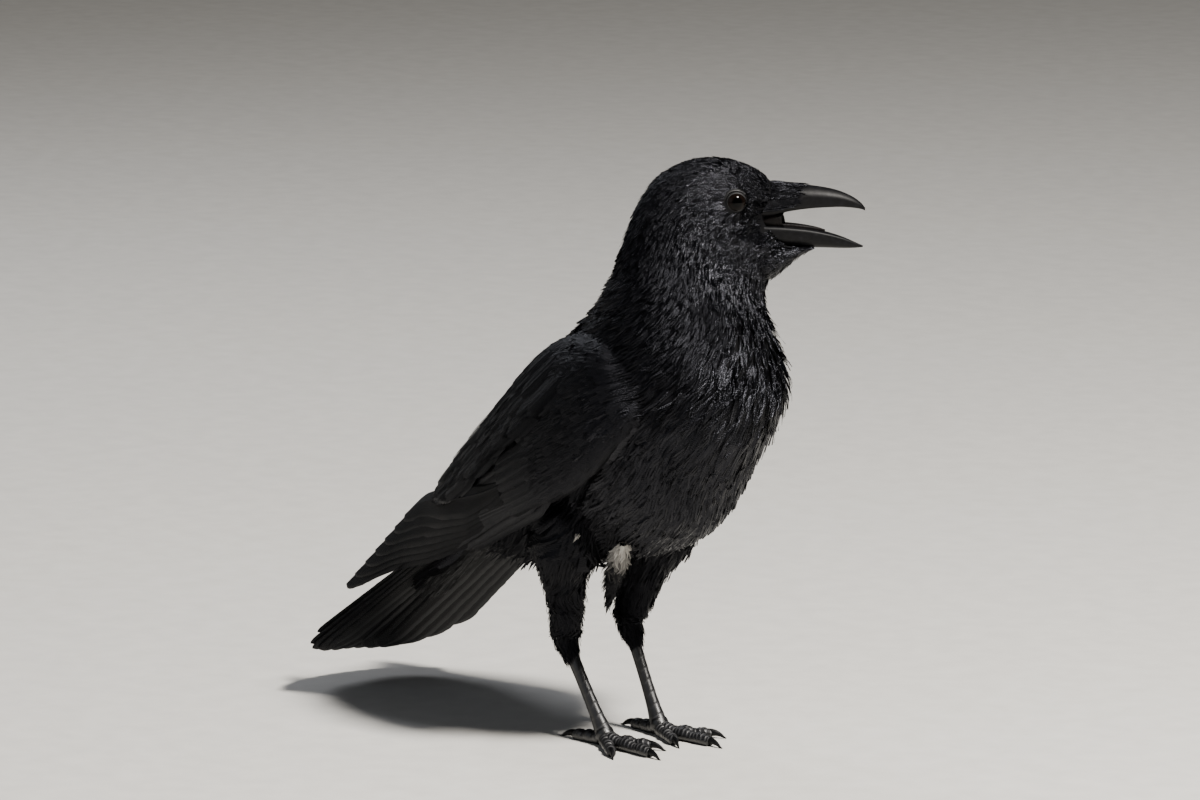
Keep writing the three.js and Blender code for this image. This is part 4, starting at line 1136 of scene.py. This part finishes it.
def row_of(form, t, a_from, a_to, n, length, width, low, high, rng):
    """A straight row of broad smooth feathers at one station of the wing, from one angle to another."""
    places = np.radians(a_from + (a_to - a_from) * np.arange(n) / (n - 1))
    return vanes(form, np.full(n, float(t)), places, length, width, low, high, rng, heading=1, rows=12,
                 strands=16, fray=0.02, rounding=0.35, taper=0.06, cup=0.1, twist=0.02, bend=0.03, shaft=0.25,
                 ruffle=0.006)


def wing_coverts(form, rng):
    """The small lesser coverts, strewn over the front of the wing, then the rows of median and greater
    coverts behind them, those over the hand, and the three feathers of the thumb."""
    t, a = strewn(form, (0.1, 2.9), (2, 178), by_station([0, 3], [3.4, 5.2]), 0.4)
    n = len(t)
    size = by_station([0, 3], [0.7, 1.15])(t)
    lesser = vanes(form, t, a, 20 * size * rng.uniform(0.92, 1.08, n), 10.5 * size, -2.2,
                   0.1 + rng.uniform(-0.12, 0.15, n), rng, veer=rng.normal(0, 0.05, n), heading=1, rows=8,
                   strands=9, rounding=0.35, fray=0.05, taper=0.25, cup=0.06, twist=0.05, bend=0.05,
                   ruffle=0.012)
    median = row_of(form, 2.7, 14, 170, 15, 32, 15, -2.4, 0.0, rng)
    greater = row_of(form, 2.95, 24, 168, 17, 50, 14.5, -3.0, -0.5, rng)
    hand = row_of(form, 3.9, 150, 172, 6, 46, 11, -4.0, -1.2, rng)
    alula = row_of(form, 2.5, 156, 174, 3, 34, 11, -2.0, 0.0, rng)
    return [hand, greater, median, lesser, alula]


def scapulars(rng, side):
    """Scapulars root beside the mantle and lie back and out over the top of the wing."""
    t, a = strewn(body_form, (5.9, 9.9), (34, 74) if side > 0 else (-74, -34), 6.4, 0.45)
    n = len(t)
    length = by_station([6, 10], [52, 34])(t) * rng.uniform(0.9, 1.1, n)
    width = by_station([6, 10], [20, 15])(t)
    return vanes(body_form, t, a, length, width, -2.0, rng.uniform(0.1, 0.9, n), rng,
                 veer=-side * 0.12 + rng.normal(0, 0.04, n), rows=12, strands=14, fray=0.03, rounding=0.35,
                 taper=0.08, cup=0.1, twist=0.03, bend=0.04, shaft=0.25, ruffle=0.006,
                 after=lambda grid, height: out_over_wings(grid, height, 1.3))


for name, side in SIDES.items():
    rng = np.random.default_rng(71 + side)
    coat_piece(f"wing_coverts_{name}", wing_coverts(wing_form(side), rng), covert_black)
    coat_piece(f"scapulars_{name}", [scapulars(rng, side)], covert_black)

# ---------------------------------------------------------------- tail feathers
# Twelve broad tail feathers, closed so that each pair lies under the next, the middle pair on top. They
# root in the stump behind the body, their tips are gently rounded, and long soft coverts close over their
# bases from below.

RECTRICES = 12
TAIL_LONG, TAIL_STEP = 181, 26  # the middle feathers' length, and how much shorter the outermost are
TAIL_ROOT, TAIL_HIGH = -66, 17  # where they root: along the trunk's axis and above it
TAIL_SPREAD, TAIL_TURN = 7.1, -2.3  # degrees that the outermost fan out, and that the whole tail is turned
TAIL_ROLL = 0.09  # how far the tail falls to the left for each mm out
RECTRIX_HALF = 13.0


def tail_feathers(rng):
    """Straight feathers that fan out from a row of roots, each pair lying a little lower than the next one
    in. The first fifth of each is inside the body and isn't drawn."""
    place = np.arange(RECTRICES) - (RECTRICES - 1) / 2
    edge = np.abs(place) / 5.5
    fan = np.radians(place / 5.5 * TAIL_SPREAD + TAIL_TURN)
    length = TAIL_LONG - TAIL_STEP * edge**4
    s = np.linspace(0, 1, 50)[None, :]
    root_out = place * 3.6
    tip_out = root_out + length * np.sin(fan)
    start = in_trunk(TAIL_ROOT, root_out, TAIL_HIGH - np.abs(place) * 0.4 - TAIL_ROLL * root_out)
    end = in_trunk(TAIL_ROOT - length * np.cos(fan), tip_out,
                   TAIL_HIGH - np.abs(place) * 0.55 - TAIL_ROLL * tip_out)
    begin = start + (end - start) * 0.2
    path = begin[:, None] + (end - begin)[:, None] * s[..., None]
    tilt = -np.sign(place) * edge * np.radians(10) - np.arctan(TAIL_ROLL)
    outward = in_trunk(0, -np.sin(tilt), np.cos(tilt)) - in_trunk(0, 0, 0)
    return plumes(path, outward[:, None] + 0 * path, np.full(RECTRICES, RECTRIX_HALF), rng, camber=0.07,
                  thick=0.5, shaft=0.6, tip=0.12)


def undertail_coverts(rng):
    """Long soft coverts that lie under the bases of the tail feathers, the middle ones longest."""
    t, a = strewn(body_form, (2.3, 4.7), (92, 268), 5.0, 0.3)
    n = len(t)
    length = np.interp(np.abs(a - np.pi), [0, 1.5], [46, 30]) * rng.uniform(0.85, 1.1, n)
    return vanes(body_form, t, a, length, 15 * rng.uniform(0.9, 1.1, n), -2.0, rng.uniform(-0.2, 0.4, n), rng,
                 veer=rng.normal(0, 0.05, n), rows=9, strands=9, rounding=0.4, fray=0.06, taper=0.25,
                 ruffle=0.012, cup=0.08, twist=0.04, bend=0.04)


tail = [tail_feathers(np.random.default_rng(81))]
tail = coat_piece("tail_feathers", tail, flight_black)
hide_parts("tail")
coat_piece("undertail_coverts", [undertail_coverts(np.random.default_rng(83))], flight_black)

# ---------------------------------------------------------------- legs, feet and claws
# Bare black legs sheathed in scutes: broad overlapping plates down the front, a smooth keel behind, short
# bands over the toes and soft pads under them. Each toe ends in a curved claw of black horn.

# Each toe's direction in degrees outwards from straight ahead, length, radius at its root, and claw's length.
TOES = {
    "middle": (3, 37, 3.8, 12.5), "inner": (-24, 26, 3.6, 12), "outer": (34, 28, 3.4, 11),
    "hind": (176, 21, 3.8, 15.5),
}
TOE_PLATE, SHANK_PLATES = 2.5, 10  # the length of a toe's scutes, and how many the shank has


def scuted_leg():
    """Horny leg scales: black, worn to a satin shine on each plate, duller and greyer in the grooves, with
    grain much finer than a plate."""
    material, shader = new_material("black_leg_scute", Roughness=0.42, IOR=1.5, Coat_Weight=0.15,
                                    Coat_Roughness=0.25)
    links = material.node_tree.links
    place = add_node(material, "ShaderNodeTexCoord").outputs["Object"]
    groove = add_node(material, "ShaderNodeAttribute", attribute_name="groove").outputs["Fac"]
    grain = add_node(material, "ShaderNodeTexNoise", [("Vector", place)],
                     scale=900.0, detail=5.0, roughness=0.65).outputs["Fac"]
    mixed = add_node(material, "ShaderNodeMath", [(0, grain), (2, groove)],
                     operation="MULTIPLY_ADD", i1=0.45).outputs[0]
    colour = add_node(material, "ShaderNodeValToRGB", [("Fac", mixed)],
                      stops=[(0.15, "#070708"), (0.5, "#101012"), (0.92, "#38383a")])
    links.new(colour.outputs["Color"], shader.inputs["Base Color"])
    shine = add_node(material, "ShaderNodeMapRange", [("Value", mixed)], to_min=0.3, to_max=0.62)
    links.new(shine.outputs[0], shader.inputs["Roughness"])
    cells = add_node(material, "ShaderNodeTexVoronoi", [("Vector", place)],
                     scale=1500.0, feature="DISTANCE_TO_EDGE").outputs["Distance"]
    height = add_node(material, "ShaderNodeMath", [(0, cells), (2, grain)],
                      operation="MULTIPLY_ADD", i1=1.5).outputs[0]
    bump = add_node(material, "ShaderNodeBump", [("Height", height)], strength=0.35, distance=0.0002)
    links.new(bump.outputs["Normal"], shader.inputs["Normal"])
    return material


def scuted_tube(points, radii, count, rows, sides, flatten, depth):
    """A limb whose radius steps up over each of count plates and drops back at its end, by depth times how
    nearly a place faces the front. Returns it with how deep each point lies in a groove."""
    t = np.linspace(0, len(points) - 1, rows)
    a = np.arange(sides) * 2 * np.pi / sides
    phase = (t / t[-1] * count)[:, None] + 0.16 * np.cos(2 * a)[None, :]
    saw = phase % 1
    plate = saw**0.35 * (1 - np.clip((saw - 0.86) / 0.14, 0, 1))
    facing = np.clip(0.25 + np.cos(a), 0, 1)[None, :] ** 0.6
    grow = depth * (plate - 0.6) * facing
    form = limb_form(points, radii, flatten)
    body = tube(form(t[:, None], a[None, :], grow))
    groove = (1 - plate) * facing * min(depth / 0.5, 1)
    return body, np.concatenate([groove.ravel(), [0, 0]])


def toe_line(name, side, angle):
    """Where a toe starts, on the ground below the foot, and the way it points."""
    yaw = side * np.radians(angle)
    return np.array(FOOT[name]) * (1, side, 0), np.array([np.cos(yaw), np.sin(yaw), 0])


def on_the_ground(body):
    """A body pressed flat where it would go below the ground."""
    body[0][:, 2] = np.maximum(body[0][:, 2], 0.0)
    return body


def leg_parts(name, side):
    """Shank, knob of the foot and four toes with pads that swell between the joints, and for each of them how
    deep its points lie in the grooves between scutes."""
    turn = np.array([1, side, 1])
    ankle, foot = np.array(ANKLE[name]) * turn, np.array(FOOT[name]) * turn
    shank, shank_groove = scuted_tube([ankle, ankle + (foot - ankle) * 0.5, foot], [4.3, 3.6, 3.3, 3.7, 5.1],
                                      SHANK_PLATES, 170, 36, 0.85, 0.3)
    knob = limb_form([foot + (-2.5, 0, 1.5), foot + (0, 0, 0.2), foot + (3.5, 0, -1.6)], [3.8, 5.2, 3.8])
    knob = on_the_ground(tube(rings(knob, np.linspace(0, 2, 16), 28)))
    bodies, grooves = [shank, knob], [shank_groove, np.zeros(len(knob[0]))]
    for angle, long, thick, _ in TOES.values():
        start, forward = toe_line(name, side, angle)
        i = np.arange(7)
        radius = thick * (1 - 0.28 * i / 6) * (1 + np.where(i % 2, 0.1, -0.08))
        up = np.where(i == 0, 5.0, radius - 0.4)
        points = start + forward * (long * i / 6)[:, None] + np.array([0, 0, 1]) * up[:, None]
        body, groove = scuted_tube(points, radius, long / TOE_PLATE, int(long * 4.4), 28, 1.0, 0.5)
        bodies.append(on_the_ground(body))
        grooves.append(groove)
    return joined(bodies), np.concatenate(grooves)


CLAW_ARC = np.radians([-14, 48])  # from where a claw leaves its toe, still rising, to its tip


def claws(name, side):
    """Curved cones: a circular arc as long as the claw that dips to the ground, deeper than wide, ending in a
    blunt point."""
    bodies = []
    for angle, long, _, claw in TOES.values():
        start, forward = toe_line(name, side, angle)
        arc = np.linspace(*CLAW_ARC, 7)
        bend = claw / (CLAW_ARC[1] - CLAW_ARC[0])
        along = long - 2.4 + bend * (np.sin(arc) - np.sin(CLAW_ARC[0]))
        up = np.maximum(2.6 + bend * (np.cos(arc) - np.cos(CLAW_ARC[0])), 0.3)
        points = start + forward * along[:, None] + np.array([0, 0, 1]) * up[:, None]
        cone = limb_form(points, [2.3, 2.05, 1.75, 1.4, 1.0, 0.6, 0.2], 0.72)
        bodies.append(on_the_ground(tube(rings(cone, np.linspace(0, 6, 40), 24))))
    return joined(bodies)


leg_scutes = scuted_leg()
for name, side in SIDES.items():
    body, groove = leg_parts(name, side)
    leg = mesh_piece(f"scuted_leg_{name}", body, leg_scutes, values=[("groove", groove)])
    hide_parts(f"shank_{name}", *(f"toe_{toe}_{name}" for toe in TOES))
    four_claws = mesh_piece(f"claws_{name}", claws(name, side), sheath_horn)
    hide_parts(*(f"claw_{toe}_{name}" for toe in TOES))

# ---------------------------------------------------------------- floor, light and camera
# A plain pale floor, a broad soft key light from high on the right, a weak fill, a rim light behind the
# back, and a long lens looking slightly down at the bird's right side.


def stage_floor():
    """A wide square of matt pale board, with a grain too faint to show as more than a change of tone."""
    material, shader = new_material("pale_studio_floor", Base_Color=linear("#cfcdc8"), Roughness=0.85)
    place = add_node(material, "ShaderNodeTexCoord").outputs["Object"]
    grain = add_node(material, "ShaderNodeTexNoise", [("Vector", place)], scale=60.0, detail=4.0)
    colour = add_node(material, "ShaderNodeValToRGB", [("Fac", grain.outputs["Fac"])],
                      stops=[(0.3, "#cbc9c4"), (0.7, "#d3d1cc")])
    material.node_tree.links.new(colour.outputs["Color"], shader.inputs["Base Color"])
    mesh = bpy.data.meshes.new("floor")
    mesh.from_pydata([(-12, -12, 0), (12, -12, 0), (12, 12, 0), (-12, 12, 0)], [], [(0, 1, 2, 3)])
    mesh.materials.append(material)
    floor = bpy.data.objects.new("floor", mesh)
    bpy.context.collection.objects.link(floor)


stage_floor()


def soft_light(name, place, target, size, power, colour):
    """A square area light at a place, turned to face a target."""
    lamp = bpy.data.lights.new(name, "AREA")
    lamp.shape, lamp.size, lamp.energy, lamp.color = "SQUARE", size, power, linear(colour)[:3]
    light = bpy.data.objects.new(name, lamp)
    back = unit(np.array(place) - target)
    right = unit(np.cross([0, 0, 1.0], back))
    matrix = np.eye(4)
    matrix[:3, :3], matrix[:3, 3] = np.stack([right, np.cross(back, right), back], 1), place
    light.matrix_world = Matrix(matrix.tolist())
    bpy.context.collection.objects.link(light)


BIRD = np.array([0.06, 0.0, 0.17])  # the middle of the body, in the part's own frame
VIEW_RIGHT = np.array([np.cos(HEAD_TURN), np.sin(HEAD_TURN), 0])
VIEW_BACK = np.array([np.sin(HEAD_TURN), -np.cos(HEAD_TURN), 0])
UP = np.array([0, 0, 1.0])
soft_light("key_light", BIRD + VIEW_RIGHT * 1.0 + VIEW_BACK * 1.0 + UP * 1.85, BIRD, 0.34, 160, "#fffaf3")
soft_light("fill_light", BIRD - VIEW_RIGHT * 1.6 + VIEW_BACK * 1.4 + UP * 0.8, BIRD, 1.6, 6, "#eaf1ff")
soft_light("rim_light", BIRD - VIEW_RIGHT * 0.8 - VIEW_BACK * 1.5 + UP * 1.4, BIRD, 0.9, 13, "#f4f7ff")

world = bpy.data.worlds.new("studio_air")
world.use_nodes = True
world.node_tree.nodes["Background"].inputs["Color"].default_value = linear("#e6e8ea")
world.node_tree.nodes["Background"].inputs["Strength"].default_value = 0.08
bpy.context.scene.world = world

TILT = np.radians(10)  # how far the camera looks down
CAMERA_FAR = 4.0
FRAME_WIDTH, FRAME_HEIGHT = 1200, 800
DOT = 0.51  # millimetres at the bird to a dot of the frame
FEET_DOT = (640, 743)  # where the point between the feet is in the frame
LENS_DOTS, SENSOR = 7843, 36.0  # the focal length in dots of the frame, and the sensor's width in mm
lens = bpy.data.cameras.new("long_lens")
lens.sensor_width, lens.lens = SENSOR, SENSOR * LENS_DOTS / FRAME_WIDTH
lens.clip_start, lens.clip_end = 0.1, 100.0
camera = bpy.data.objects.new("camera", lens)
view_up = UP * np.cos(TILT) - VIEW_BACK * np.sin(TILT)
view_back = VIEW_BACK * np.cos(TILT) + UP * np.sin(TILT)
right, up = (FRAME_WIDTH / 2 - FEET_DOT[0]) * DOT, (FEET_DOT[1] - FRAME_HEIGHT / 2) * DOT
aim = (right * VIEW_RIGHT + up * view_up + TO_ROW) / 1000
matrix = np.eye(4)
matrix[:3, :3], matrix[:3, 3] = np.stack([VIEW_RIGHT, view_up, view_back], 1), aim + view_back * CAMERA_FAR
camera.matrix_world = Matrix(matrix.tolist())
bpy.context.collection.objects.link(camera)
bpy.context.scene.camera = camera
